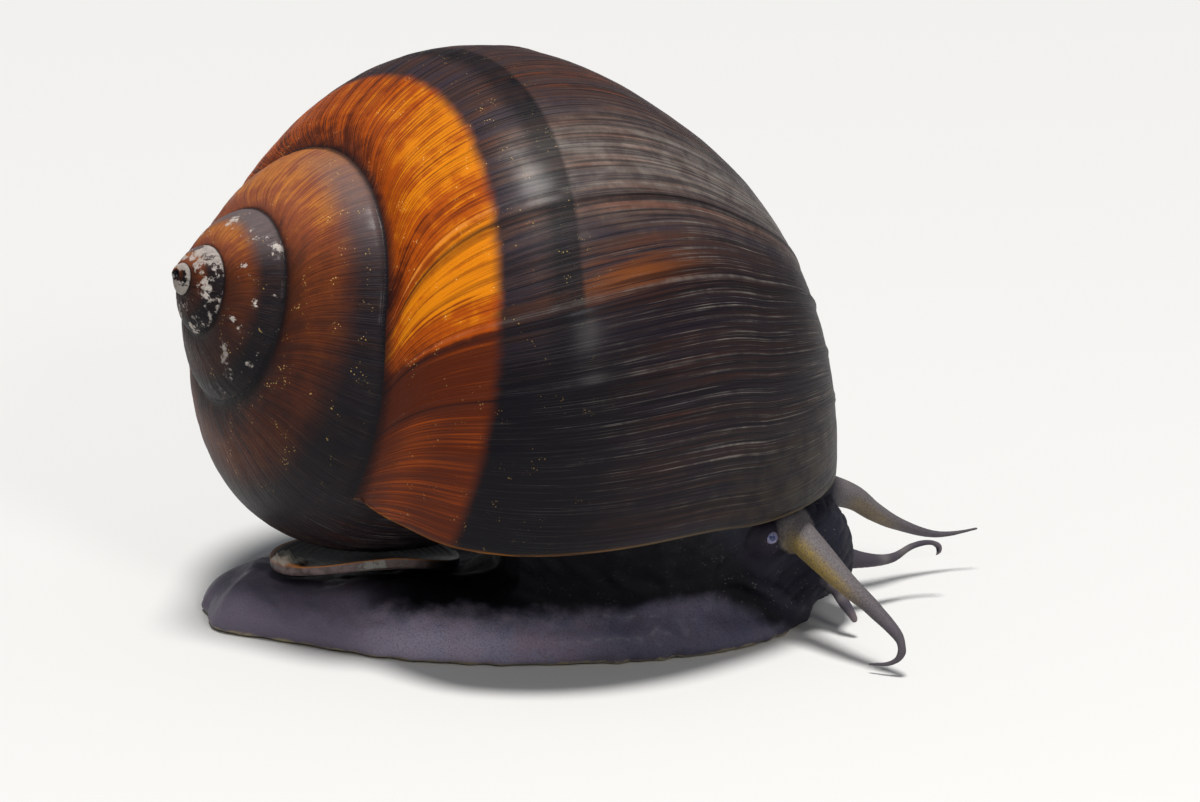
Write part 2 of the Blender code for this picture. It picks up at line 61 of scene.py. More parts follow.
# %% Camera
VIEW_TARGET = Vector((8.0, 0.0, 17.6)) * MM
VIEW_DISTANCE = 341.5 * MM
VIEW_ELEVATION = math.radians(15.5)
VIEW_WIDTH = math.radians(16.0)
NEAREST_SEEN = 10.0


def add_object(name, data):
    """An object of this data, placed in the scene."""
    made = bpy.data.objects.new(name, data)
    bpy.context.scene.collection.objects.link(made)
    return made


lens = bpy.data.cameras.new("camera")
lens.sensor_fit = "HORIZONTAL"
lens.angle = VIEW_WIDTH
lens.clip_start = NEAREST_SEEN * MM
camera = add_object("camera", lens)
way_back = Vector((0.0, -math.cos(VIEW_ELEVATION), math.sin(VIEW_ELEVATION)))
camera.location = VIEW_TARGET + VIEW_DISTANCE * way_back
camera.rotation_euler = (math.pi / 2 - VIEW_ELEVATION, 0.0, 0.0)
bpy.context.scene.camera = camera
print("camera in mm", [round(part / MM) for part in camera.location])

# %% [markdown]
# ## Light and floor
#
# In the tank a lamp hangs above the snail, and pale sand throws light back up at it. A wide sun
# overhead lights the snail and the whole of a pale floor evenly, and a small lamp from the front
# gives the glints on the ridges.

# %% Studio
FLOOR_SIZE = 4000.0
FLOOR_COLOUR = (0.74, 0.74, 0.735, 1.0)
FLOOR_ROUGHNESS = 0.85
WORLD_COLOUR = (0.88, 0.93, 1.0, 1.0)
WORLD_STRENGTH = 0.2
OVERHEAD = {"at": (0, -110, 600), "aim": (0, 0, 20), "strength": 3.3, "colour": (1.0, 0.98, 0.95)}
OVERHEAD_WIDTH = math.radians(15.0)
FRONT = {"at": (130, -290, 190), "aim": (5, 0, 15), "strength": 0.27, "colour": (1.0, 0.97, 0.93)}
FRONT_SIZE = 70.0


def lamp(name, kind, at, aim, strength, colour):
    """A lamp at a place, aimed at another, both in millimetres."""
    light = bpy.data.lights.new(name, kind)
    light.energy = strength
    light.color = colour
    made = add_object(name, light)
    made.location = Vector(at) * MM
    made.rotation_euler = (Vector(aim) - Vector(at)).to_track_quat("-Z", "Y").to_euler()
    return light


def mesh_object(name, bm):
    """An object with the mesh that a bmesh holds. The bmesh is freed."""
    mesh = bpy.data.meshes.new(name)
    bm.to_mesh(mesh)
    bm.free()
    return add_object(name, mesh)


def new_finish(name, **constants):
    """A material, its tree, and its shader with the values that are the same all over."""
    finish = bpy.data.materials.new(name)
    finish.use_nodes = True
    shader = finish.node_tree.nodes["Principled BSDF"]
    for label, value in constants.items():
        shader.inputs[label.replace("_", " ")].default_value = value
    return finish, finish.node_tree, shader


lamp("overhead", "SUN", **OVERHEAD).angle = OVERHEAD_WIDTH
lamp("front", "AREA", **FRONT).size = FRONT_SIZE * MM

bm = bmesh.new()
bmesh.ops.create_grid(bm, x_segments=1, y_segments=1, size=FLOOR_SIZE * MM / 2)
floor = mesh_object("floor", bm)
floor_finish, _, _ = new_finish("floor", Base_Color=FLOOR_COLOUR, Roughness=FLOOR_ROUGHNESS)
floor.data.materials.append(floor_finish)

world = bpy.data.worlds.new("studio")
world.use_nodes = True
sky = world.node_tree.nodes["Background"]
sky.inputs["Color"].default_value = WORLD_COLOUR
sky.inputs["Strength"].default_value = WORLD_STRENGTH
bpy.context.scene.world = world
bpy.context.scene.view_settings.view_transform = "Standard"
print("lamps", [light.name for light in bpy.data.lights])

# %% [markdown]
# ## Sums in a node tree
#
# Both the shell's shape and every finish are sums done by nodes, and a sum of twenty nodes is
# hard to read as twenty links. A Wire stands for one output socket: arithmetic on wires adds
# the Math nodes, so a formula in this file looks like the formula that it is.

# %% Wires
def feed(socket, value):
    """Links a wire to an input socket, or sets its value."""
    if isinstance(value, Wire):
        value.tree.links.new(value.socket, socket)
    else:
        socket.default_value = value


class Wire:
    """What comes out of a socket. Arithmetic on it adds Math nodes to the same tree."""

    def __init__(self, socket):
        self.socket = socket
        self.tree = socket.id_data

    def math(self, operation, *others):
        node = self.tree.nodes.new("ShaderNodeMath")
        node.operation = operation
        for socket, value in zip(node.inputs, (self, *others)):
            feed(socket, value)
        return Wire(node.outputs[0])

    def __add__(self, other):
        return self.math("ADD", other)

    def __sub__(self, other):
        return self.math("SUBTRACT", other)

    def __mul__(self, other):
        return self.math("MULTIPLY", other)

    def __truediv__(self, other):
        return self.math("DIVIDE", other)

    def __pow__(self, other):
        return self.math("POWER", other)

    def __neg__(self):
        return self.math("MULTIPLY", -1.0)

    def __rsub__(self, other):
        return -self + other

    def __rtruediv__(self, other):
        return self**-1.0 * other

    __radd__ = __add__
    __rmul__ = __mul__


def place(tree, kind, feeds=(), **settings):
    """Adds a node, sets its properties, and feeds its inputs by name or number."""
    node = tree.nodes.new(kind)
    for name, value in settings.items():
        setattr(node, name, value)
    for name, value in dict(feeds).items():
        feed(node.inputs[name], value)
    return node


def wired(tree, kind, feeds=(), output=0, **settings):
    """Adds a node and gives the wire out of it."""
    return Wire(place(tree, kind, feeds, **settings).outputs[output])


# %% Node groups
def socket_kind(value):
    """The kind of socket that holds a value, or that a word names."""
    if isinstance(value, str):
        return "NodeSocket" + value
    if isinstance(value, int):
        return "NodeSocketInt"
    if isinstance(value, float):
        return "NodeSocketFloat"
    return "NodeSocketColor" if len(value) == 4 else "NodeSocketVector"


def new_group(name, kind, inputs, outputs):
    """A node group with named sockets: the tree, its inputs as wires, and its output sockets."""
    tree = bpy.data.node_groups.new(name, kind)
    for label, value in inputs.items():
        made = tree.interface.new_socket(label, in_out="INPUT", socket_type=socket_kind(value))
        if not isinstance(value, str):
            made.default_value = value
    for label, value in outputs.items():
        tree.interface.new_socket(label, in_out="OUTPUT", socket_type=socket_kind(value))
    source = tree.nodes.new("NodeGroupInput")
    sink = tree.nodes.new("NodeGroupOutput")
    return tree, {label: Wire(source.outputs[label]) for label in inputs}, sink.inputs


def use(tree, inner, given, extra=()):
    """The wires out of a group node. It takes every given value that has the name of an input."""
    kind = "GeometryNodeGroup" if tree.type == "GEOMETRY" else "ShaderNodeGroup"
    node = place(tree, kind, node_tree=inner)
    values = {**given, **dict(extra)}
    for socket in node.inputs:
        if socket.name in values:
            feed(socket, values[socket.name])
    return [Wire(socket) for socket in node.outputs]


# %% Sums with a name
def blend(share, low, high):
    """low where share is 0 and high where it is 1."""
    return wired(share.tree, "ShaderNodeMix", {"Factor": share, "A": low, "B": high})


def ramp(value, start, end, low=0.0, high=1.0):
    """A smooth rise from low at start to high at end."""
    feeds = {"Value": value, "From Min": start, "From Max": end, "To Min": low, "To Max": high}
    return wired(value.tree, "ShaderNodeMapRange", feeds, interpolation_type="SMOOTHSTEP")


def bump_at(value, centre, width):
    """A bell of height 1 at centre, that falls to a third one width away."""
    off = (value - centre) / width
    return (-(off * off)).math("EXPONENT")


def cosine_and_sine(angle):
    return angle.math("COSINE"), angle.math("SINE")


def vector(x, y, z):
    """A vector of three numbers, at least one of which is a wire."""
    tree = next(part.tree for part in (x, y, z) if isinstance(part, Wire))
    return wired(tree, "ShaderNodeCombineXYZ", {"X": x, "Y": y, "Z": z})


def parts_of(value):
    node = place(value.tree, "ShaderNodeSeparateXYZ", {"Vector": value})
    return [Wire(socket) for socket in node.outputs]


def vector_sum(first, second, operation="ADD"):
    return wired(first.tree, "ShaderNodeVectorMath", {0: first, 1: second}, operation=operation)


def scaled(value, factor):
    return wired(value.tree, "ShaderNodeVectorMath", {0: value, "Scale": factor}, operation="SCALE")


# %% [markdown]
# ## The rule of the shell
#
# A snail adds to the lip of its shell as it grows and never changes what is there, so every
# whorl is the one before it, larger. It could be modelled by hand as a stack of rings, but then
# each join has to be fitted. Here the whorl is one outline, a rounded square, that turns about
# a tilted axis while it grows by a fixed ratio. This group gives the place on that coil for an
# angle round the axis and an angle round the outline.

# %% Shape of the coil
COIL = {
    "Growth": 0.0902,
    "Early Growth": 0.0021,
    "Half Width": 25.85,
    "Half Height": 23.45,
    "Squareness": 2.494,
    "Tilt": -0.2377,
    "Out": 2.0,
    "Down": 32.19,
    "Apex": (-25.18, -10.0, 30.78),
    "Axis Turn": 0.5243,
    "Axis Rise": 0.3547,
}


def whorl_scale(theta, given):
    """Size of the whorl at an angle round the axis: exponential, and slower before the last turn."""
    early = (theta + TURN).math("MINIMUM", 0.0)
    return (given["Growth"] * theta - given["Early Growth"] * early * early).math("EXPONENT")


def rounded(value, power):
    """A cosine or sine with its size raised to a power, which squares a circle."""
    return value.math("SIGN") * value.math("ABSOLUTE") ** power


def outline(across, given, grown=0.0, size=1.0):
    """Distance from the axis, and height along it, of the outline of a whorl of scale one."""
    power = 2.0 / given["Squareness"]
    wide = (given["Half Width"] + grown) * rounded(across.math("COSINE"), power) * size
    tall = (given["Half Height"] + grown) * rounded(across.math("SINE"), power) * size
    tilt_c, tilt_s = cosine_and_sine(given["Tilt"])
    out = given["Out"] + wide * tilt_c - tall * tilt_s
    return out, wide * tilt_s + tall * tilt_c - given["Down"]


def axes(given):
    """The axis of the coil and the two ways that it turns between, each as a vector wire."""
    rise_c, rise_s = cosine_and_sine(given["Axis Rise"])
    turn_c, turn_s = cosine_and_sine(given["Axis Turn"])
    axis = vector(-(rise_c * turn_c), -(rise_c * turn_s), rise_s)
    start = vector(turn_s, -turn_c, 0.0)
    return axis, start, vector_sum(start, axis, "CROSS_PRODUCT")


tree, given, result = new_group(
    "Place on the coil",
    "GeometryNodeTree",
    {"Angle": 0.0, "Across": 0.0, "Off": 0.0, "Size": 1.0, **COIL},
    {"Place": "Vector"},
)
coil_place, theta = tree, given["Angle"]
scale = whorl_scale(theta, given)
out, high = outline(given["Across"], given, given["Off"] / scale, given["Size"])
axis, start, below = axes(given)
spoke = vector_sum(scaled(start, theta.math("COSINE")), scaled(below, theta.math("SINE")))
local = vector_sum(scaled(spoke, out * scale), scaled(axis, high * scale))
feed(result["Place"], vector_sum(local, given["Apex"]))
print("nodes for a place on the coil", len(tree.nodes))

# %% [markdown]
# ## Where two whorls meet
#
# The groove between two whorls is called the suture. It lies where the outline of the newer
# whorl leaves that of the older one, and no short formula gives that place. It could be read
# from a drawing; here a repeat zone halves the range again and again until it holds the place.
# Near the lip the new whorl slips a little down the old one, which a smooth hinge adds.

# %% Sutures
HALVINGS = 20
MEETING_RANGE = (1.0, 1.62)
SUTURE = {
    "Suture Drop": 0.24,
    "Drop Start": -0.1,
    "Drop Ease": 0.05,
    "Shoulder Drop": 0.34,
}


def halved(tree, low, high, outside):
    """The place between low and high where outside(place) falls to nothing."""
    opening = tree.nodes.new("GeometryNodeRepeatInput")
    closing = tree.nodes.new("GeometryNodeRepeatOutput")
    opening.pair_with_output(closing)
    closing.repeat_items.clear()
    for name, value in (("Low", low), ("High", high)):
        closing.repeat_items.new("FLOAT", name)
        opening.inputs[name].default_value = value
    opening.inputs["Iterations"].default_value = HALVINGS
    low, high = Wire(opening.outputs["Low"]), Wire(opening.outputs["High"])
    middle = (low + high) * 0.5
    beyond = outside(middle).math("GREATER_THAN", 0.0)
    feed(closing.inputs["Low"], blend(beyond, low, middle))
    feed(closing.inputs["High"], blend(beyond, middle, high))
    return Wire(closing.outputs["Low"])


tree, given, result = new_group(
    "Suture", "GeometryNodeTree", {"Angle": 0.0, **SUTURE, **COIL}, {"Top": 0.0, "Under": 0.0}
)
suture, theta = tree, given["Angle"]
ratio = whorl_scale(theta, given) / whorl_scale(theta - TURN, given)


def on_older(across):
    """A place of the newer outline, as shares of the older outline's half width and height."""
    out, high = outline(across, given)
    out, high = out * ratio - given["Out"], high * ratio + given["Down"]
    tilt_c, tilt_s = cosine_and_sine(given["Tilt"])
    wide = (out * tilt_c + high * tilt_s) / given["Half Width"]
    return wide, (high * tilt_c - out * tilt_s) / given["Half Height"]


def outside_older(across):
    wide, tall = on_older(across)
    squareness = given["Squareness"]
    return wide.math("ABSOLUTE") ** squareness + tall.math("ABSOLUTE") ** squareness - 1.0


late = theta - given["Drop Start"]
hinge = (late * late + given["Drop Ease"] * given["Drop Ease"]).math("SQRT")
drop = given["Suture Drop"] * 0.5 * (late + hinge)
meeting = halved(tree, *MEETING_RANGE, outside_older)
wide, tall = on_older(meeting)
half = given["Squareness"] * 0.5
feed(result["Top"], meeting - given["Shoulder Drop"] * drop)
feed(result["Under"], rounded(tall, half).math("ARCTAN2", rounded(wide, half)) - drop)
print("nodes for a suture", len(tree.nodes))

# %% [markdown]
# ## The wall and the lip
#
# The lip of this shell leans back towards its base, with a small hook at the suture. Rows of
# the mesh that lean the same way over the last quarter turn end exactly on the lip. The wall
# is also drawn onto the whorl before it along the suture, so that the mesh closes there.

# %% Wall
LIP = {
    "Lip End": 0.84,
    "Lip Ease": 2.1,
    "Lip Start": 0.194,
    "Lip Slope": 0.308,
    "Lip Curve": 0.061,
    "Lip Twist": 0.010,
    "Lip Hook": 0.196,
    "Hook Place": 1.34,
    "Hook Width": 0.1,
    "Suture Reach": 0.47,
    "First Angle": -24.3,
}


def lip_angle(across, given):
    curve = given["Lip Curve"] * across * across + given["Lip Twist"] * across * across * across
    hook = ((across - given["Hook Place"]) / given["Hook Width"]).math("EXPONENT")
    return given["Lip Start"] + given["Lip Slope"] * across + curve + given["Lip Hook"] * hook


tree, given, result = new_group(
    "Place on the wall",
    "GeometryNodeTree",
    {"Angle": 0.0, "Across": 0.0, "Back": 0.0, "Inset": 0.0, "Off": 0.0, **LIP, **SUTURE, **COIL},
    {"Place": "Vector", "Turned": 0.0},
)
wall_place, theta, across = tree, given["Angle"], given["Across"]
top, under = use(tree, suture, given)
ease = ramp(given["Lip End"] - theta, given["Lip Ease"], 0.0)
lean = ease * (lip_angle(top, given) - lip_angle(across, given)).math("MAXIMUM", 0.0)
turned = theta - lean
feeds = {"Angle": turned - given["Back"], "Across": across, "Off": given["Off"] - given["Inset"]}
free = use(tree, coil_place, given, feeds)[0]
held = use(tree, coil_place, given, {"Angle": theta - TURN, "Across": under})[0]
loose = use(tree, coil_place, given, {"Across": top})[0]
reach = (top - across) / given["Suture Reach"]
near = (1.0 - reach * reach).math("MAXIMUM", 0.0) ** 3.0
later = theta.math("GREATER_THAN", given["First Angle"])
pull = scaled(vector_sum(held, loose, "SUBTRACT"), near * later)
feed(result["Place"], vector_sum(free, pull))
feed(result["Turned"], turned)
print("nodes for a place on the wall", len(tree.nodes))

# %% [markdown]
# ## The whole shell as one tree
#
# Five flat grids become the shell: the spire, the base below the last suture, the rim that
# turns into the mouth, and small caps for the apex and the navel. Each corner of a grid knows
# its row and column, and the groups above say where that row and column lie. The edges of the
# grids fall on each other, so merging by distance closes the shell. Five numbers stay with the
# corners for the relief and the finish: the growth line, the depth below one suture and the
# height above the next, the angle round the axis, and how far inside the mouth the corner is.

# %% Sizes of the shell
SHELL = {
    "Whorls": 5,
    "Rows per Whorl": 288,
    "Spire Columns": 40,
    "Base Columns": 42,
    "Rim Rows": 18,
    "Navel Across": -1.42,
    "Navel Depth": 2.5,
    "Apex Cap": 0.12,
    "Lip Wall": 0.5,
    "Throat Wall": 1.1,
    "Throat Depth": 0.35,
    "Corner": 0.1,
    "Wall Off": -0.19,
    "Line Lean": 0.10,
    "Lip Line Lean": 0.33,
    "Line Hook": 0.30,
    "Line Hook Width": 0.11,
    "Wave Height": 0.07,
    "Ridge Height": 0.13,
    "Groove Depth": 0.34,
    "Groove Width": 0.035,
    "Shoulder Rise": 0.22,
    "Shoulder Place": 0.12,
    "Shoulder Width": 0.08,
    "Unit": MM,
}
MERGE_DISTANCE = 0.0005
LEAN_CHANGES = (-0.8, 0.17)
# Each halt in growth: its growth line, and how wide its ridge is.
HALTS = ((-0.755, 0.02), (-0.5, 0.02), (-0.275, 0.014), (-0.08, 0.01), (-1.62, 0.013))


# %% Grids and their corners
def grid(tree, rows, columns):
    """A grid of rows by columns quads, and the row and column of each corner."""
    feeds = {"Vertices X": rows + 1, "Vertices Y": columns + 1, "Size X": 1.0, "Size Y": 1.0}
    mesh = wired(tree, "GeometryNodeMeshGrid", feeds)
    x, y, _ = parts_of(wired(tree, "GeometryNodeInputPosition"))
    return mesh, ((x + 0.5) * rows).math("ROUND"), ((y + 0.5) * columns).math("ROUND")


def store(geometry, name, value):
    """Keeps a value with each corner of the mesh, under a name."""
    feeds = {"Geometry": geometry, "Name": name, "Value": value}
    settings = {"data_type": "FLOAT", "domain": "CORNER"}
    return wired(geometry.tree, "GeometryNodeStoreNamedAttribute", feeds, **settings)


def moved(geometry, spot):
    """The mesh with each corner moved to its spot."""
    return wired(geometry.tree, "GeometryNodeSetPosition", {"Geometry": geometry, "Position": spot})


def choose(test, when_false, when_true):
    """One of two vectors."""
    feeds = {"Switch": test, "False": when_false, "True": when_true}
    return wired(test.tree, "GeometryNodeSwitch", feeds, input_type="VECTOR")


# %% Shell tree
tree, given, result = new_group(
    "Coiled shell",
    "GeometryNodeTree",
    {**SHELL, **LIP, **SUTURE, **COIL, "Finish": "Material"},
    {"Shell": "Geometry"},
)
shell_tree = tree
per_whorl, spire, base = given["Rows per Whorl"], given["Spire Columns"], given["Base Columns"]
end, navel = given["Lip End"], given["Navel Across"]
given["Off"] = given["Wall Off"]
rows = given["Whorls"] * per_whorl
step = TURN / per_whorl
given["First Angle"] = end - TURN * (given["Whorls"] - 1.0) - 0.5 * step


def suture_at(angle):
    """Where a whorl leaves the one before it, on its own outline and on the older one."""
    return use(tree, suture, given, {"Angle": angle})


def low_at(angle):
    """Where the next whorl covers this one, or for the last whorl, where its base begins."""
    return suture_at((angle + TURN).math("MINIMUM", end))[1]


def wall(angle, across, back=0.0, inset=0.0):
    """A place on the wall, and its angle after the lean of the lip."""
    feeds = {"Angle": angle, "Across": across, "Back": back, "Inset": inset}
    return use(tree, wall_place, given, feeds)


def coil(angle, across, off, size=1.0):
    """A place on the coil itself."""
    feeds = {"Angle": angle, "Across": across, "Off": off, "Size": size}
    return use(tree, coil_place, given, feeds)[0]


def dressed(mesh, angle, turned, across, top, above):
    """The mesh with the numbers that its relief and finish read."""
    lean = ramp(angle, *LEAN_CHANGES, given["Line Lean"], given["Lip Line Lean"])
    hook = ((across - top) / given["Line Hook Width"]).math("EXPONENT") * given["Line Hook"]
    growth = turned - lean * across - hook
    for name, value in (("growth", growth), ("below", top - across), ("above", above), ("coil", angle)):
        mesh = store(mesh, name, value)
    return mesh


# %% Outside of the shell
mesh, row, column = grid(tree, rows, spire)
angle = end - (rows - row) * step
top, _ = suture_at(angle)
low = low_at(angle)
across = top + (low - top) * column / spire
spot, turned = wall(angle, across)
covered = (angle + TURN).math("LESS_THAN", end + 0.5 * step)
above = across - low + 1.0 - covered
spire_mesh = moved(dressed(mesh, angle, turned, across, top, above), spot)

mesh, row, column = grid(tree, per_whorl, base)
angle = end - (per_whorl - row) * step
top, _ = suture_at(angle)
low = low_at(angle)
across = low + (navel - low) * column / base
spot, turned = wall(angle, across)
base_mesh = moved(dressed(mesh, angle, turned, across, top, 1.0), spot)
print("nodes for the outside", len(tree.nodes))

# %% [markdown]
# The rim of the mouth is a closed ring: down the lip, then back up the wall of the whorl before.
# Copies of that ring, each further in and a little off the walls, make the rounded edge and the
# inside of the mouth, and the last one closes on the middle of the whorl.

# %% Rim of the mouth
INSIDE_FROM = 0.12
INNER_OFF = 0.1
ROUNDED_BY = 0.25
CLOSED_FROM = 0.999
ring = spire + 2.0 * base + 2.0
mesh, row, column = grid(tree, given["Rim Rows"], ring)
column = column.math("MODULO", ring)
share = row / given["Rim Rows"]
depth = given["Throat Depth"] * share * share
rounding = ramp(share, 0.0, ROUNDED_BY)
inset = given["Lip Wall"] * rounding + (given["Throat Wall"] - given["Lip Wall"]) * share
corner = given["Corner"] * rounding
top, low = suture_at(end)
on_spire = top + (low - top) * column / spire
on_base = low + (navel - low) * (column - spire) / base
across = blend(column.math("GREATER_THAN", spire + 0.5), on_spire, on_base)
squeezed = navel + corner + (across - navel) * (top - navel - 2.0 * corner) / (top - navel)
lip_spot, lip_turned = wall(end, squeezed, depth, inset)
inner = navel + (low - navel) * (column - spire - base - 1.0) / base
squeezed = navel + corner + (inner - navel) * (low - navel - 2.0 * corner) / (low - navel)
inner_spot = coil(end - TURN - depth, squeezed, given["Off"] + INNER_OFF * rounding)
spot = choose(column.math("GREATER_THAN", spire + base + 0.5), lip_spot, inner_spot)
middle = coil(end - depth, squeezed, 0.0, 0.0)
spot = choose(share.math("GREATER_THAN", CLOSED_FROM), spot, middle)
mesh = store(mesh, "inside", ramp(share, 0.0, INSIDE_FROM))
rim_mesh = moved(dressed(mesh, end, lip_turned, across, top, 1.0), spot)
print("nodes with the rim", len(tree.nodes))

# %% [markdown]
# Small fans close the two ends of the coil, with a low dome on the apex and a pit at the navel.

# %% Apex and navel
axis, _, _ = axes(given)
mesh, row, column = grid(tree, 1, per_whorl + spire)
first = end - rows * step
on_edge = column.math("LESS_THAN", per_whorl + 0.5)
angle = first + step * column * on_edge
top, _ = suture_at(angle)
across = top + (low_at(angle) - top) * (1.0 - (column - per_whorl) / spire) * (1.0 - on_edge)
spot, _ = wall(angle, across)
opposite = [coil(first + turn, suture_at(first + turn)[0], 0.0) for turn in (0.0, math.pi)]
middle = scaled(vector_sum(*opposite), 0.5)
middle = vector_sum(middle, scaled(axis, given["Apex Cap"]))
apex_mesh = moved(mesh, choose(row.math("GREATER_THAN", 0.5), spot, middle))

mesh, row, column = grid(tree, 1, per_whorl + 1.0)
angle = end - TURN + step * column.math("MODULO", per_whorl + 1.0)
spot, _ = wall(angle, navel)
opposite = [wall(end - turn, navel)[0] for turn in (TURN, math.pi)]
middle = vector_sum(scaled(vector_sum(*opposite), 0.5), scaled(axis, given["Navel Depth"]))
navel_mesh = moved(mesh, choose(row.math("GREATER_THAN", 0.5), spot, middle))

# %% [markdown]
# Growth stops and starts, and every halt leaves a low ridge along the lip of that day. Finer
# waves between them come from a noise that varies with the growth line only. Both move the
# merged surface along its normals, so they show in the outline too.

# %% Relief of the shell
WAVE_NOISE = {"Scale": 9.0, "Detail": 3.0, "Roughness": 0.6}
WAVE_SWAY = 0.02
WAVE_SWAYS = 9.0
PLAIN_BAND = (0.0, 0.08)
joined = place(tree, "GeometryNodeJoinGeometry")
for mesh in (navel_mesh, apex_mesh, rim_mesh, base_mesh, spire_mesh):
    feed(joined.inputs[0], mesh)
feeds = {"Geometry": Wire(joined.outputs[0]), "Distance": MERGE_DISTANCE}
merged = wired(tree, "GeometryNodeMergeByDistance", feeds)


def stored(name):
    """A number that was kept with the corners."""
    return wired(tree, "GeometryNodeInputNamedAttribute", {"Name": name}, "Attribute", data_type="FLOAT")


lines, under, angle = stored("growth"), stored("below"), stored("coil")
outside = 1.0 - stored("inside")
swaying = lines + WAVE_SWAY * (under * WAVE_SWAYS).math("SINE")
wave = wired(tree, "ShaderNodeTexNoise", {"W": swaying, **WAVE_NOISE}, noise_dimensions="1D")
height = given["Wave Height"] * 2.0 * (wave - 0.5)
for line, width in HALTS:
    height = height + given["Ridge Height"] * bump_at(lines, line, width)
shown = ramp(under, *PLAIN_BAND) * outside
grooves = bump_at(under, 0.0, given["Groove Width"]) + bump_at(stored("above"), 0.0, given["Groove Width"])
shoulder = given["Shoulder Rise"] * bump_at(under, given["Shoulder Place"], given["Shoulder Width"])
size = (given["Growth"] * angle).math("EXPONENT")
height = height * shown + size * (shoulder - given["Groove Depth"] * grooves) * outside
offset = scaled(wired(tree, "GeometryNodeInputNormal"), height)

# %% Unit and finish of the shell
relief = wired(tree, "GeometryNodeSetPosition", {"Geometry": merged, "Offset": offset})
unit = vector(given["Unit"], given["Unit"], given["Unit"])
sized = wired(tree, "GeometryNodeTransform", {"Geometry": relief, "Scale": unit})
smooth = wired(tree, "GeometryNodeSetShadeSmooth", {"Geometry": sized})
real = wired(tree, "GeometryNodeRealizeInstances", {"Geometry": smooth})
painted = wired(tree, "GeometryNodeSetMaterial", {"Geometry": real, "Material": given["Finish"]})
feed(result["Shell"], painted)
print("nodes of the shell tree", len(tree.nodes))

# %% Grow the shell
def apply_modifiers(piece):
    """Makes what its modifiers show the piece's own mesh."""
    graph = bpy.context.evaluated_depsgraph_get()
    mesh = bpy.data.meshes.new_from_object(piece.evaluated_get(graph))
    piece.modifiers.clear()
    piece.data = mesh


def grown_piece(name, tree, values):
    """A plain mesh object of what a tree makes from the values of its named inputs."""
    made = add_object(name, bpy.data.meshes.new(name))
    modifier = made.modifiers.new(name, "NODES")
    modifier.node_group = tree
    for item in tree.interface.items_tree:
        if item.item_type == "SOCKET" and item.in_out == "INPUT" and item.name in values:
            modifier[item.identifier] = values[item.name]
    apply_modifiers(made)
    made.data.name = name
    return made


def close_outwards(mesh):
    """Turns every face outwards and says how open the mesh is."""
    bm = bmesh.new()
    bm.from_mesh(mesh)
    bmesh.ops.recalc_face_normals(bm, faces=bm.faces)
    holes = sum(not edge.is_manifold for edge in bm.edges)
    bm.to_mesh(mesh)
    bm.free()
    return holes


# %% [markdown]
# ## Marks that several finishes share
#
# A finish is more than a colour: the shell, its lid and the skin all have fine lines, soft
# mottling and small specks, at different scales. Each of these is one node group with named
# inputs, built once and placed in each material with values of its own. Painting an image
# would fix the detail to one size; a group stays sharp however close the camera comes.

# %% Tools for finishes
def paint(red, green, blue):
    """A colour with its parts from 0 to 255, as a colour picker shows them, made linear."""
    shares = [part / 255 for part in (red, green, blue)]
    lit = [part / 12.92 if part < 0.04045 else ((part + 0.055) / 1.055) ** 2.4 for part in shares]
    return (*lit, 1.0)


def tint(share, low, high):
    """One colour where share is 0 and the other where it is 1."""
    return wired(share.tree, "ShaderNodeMix", {0: share, 6: low, 7: high}, 2, data_type="RGBA")


def tints(share, low, middle, high):
    """Three colours, with the middle one where share is a half."""
    return tint(ramp(share, 0.5, 1.0), tint(ramp(share, 0.0, 0.5), low, middle), high)


def noise_of(spot, scale, detail=3.0, roughness=0.6):
    feeds = {"Vector": spot, "Scale": scale, "Detail": detail, "Roughness": roughness}
    return wired(spot.tree, "ShaderNodeTexNoise", feeds)


def read(tree, name):
    """An attribute of the piece."""
    return wired(tree, "ShaderNodeAttribute", (), "Fac", attribute_name=name)


def object_spot(tree):
    """The place on the object in millimetres."""
    return scaled(wired(tree, "ShaderNodeTexCoord", (), "Object"), 1 / MM)


def bumped(shader, height, depth):
    """Gives a shader a bump of so many millimetres from a height of 0 to 1."""
    feeds = {"Height": height, "Strength": 1.0, "Distance": depth * MM}
    feed(shader.inputs["Normal"], wired(height.tree, "ShaderNodeBump", feeds, "Normal"))


# %% Lines, mottling and specks
tree, given, result = new_group(
    "Growth streaks",
    "ShaderNodeTree",
    {"Line": 0.0, "Along": 0.0, "Per Unit": 60.0, "Seed": 0.0},
    {"Fine": 0.0, "Broad": 0.0, "Strands": 0.0},
)
streaks = tree
line, along, many = given["Line"], given["Along"], given["Per Unit"]
fine = noise_of(vector(line * many * 1.5, along * 1.3, given["Seed"]), 1.0, 2.0)
broad = noise_of(vector(line * many * 0.25, along * 0.8, given["Seed"] + 5.0), 1.0, 4.0, 0.7)
strand = noise_of(vector(line * many * 2.4, along * 2.0, given["Seed"] + 9.0), 1.0, 3.0)
feed(result["Fine"], ramp(fine, 0.3, 0.7))
feed(result["Broad"], ramp(broad, 0.3, 0.7))
feed(result["Strands"], ramp(strand, 0.53, 0.7))

tree, given, result = new_group(
    "Mottling",
    "ShaderNodeTree",
    {"Spot": (0.0, 0.0, 0.0), "Size": 1.0},
    {"Soft": 0.0, "Grain": 0.0},
)
mottling = tree
inner = scaled(given["Spot"], 1.0 / given["Size"])
feed(result["Soft"], ramp(noise_of(inner, 1.0, 3.0), 0.34, 0.66))
feed(result["Grain"], noise_of(inner, 9.0, 2.0))

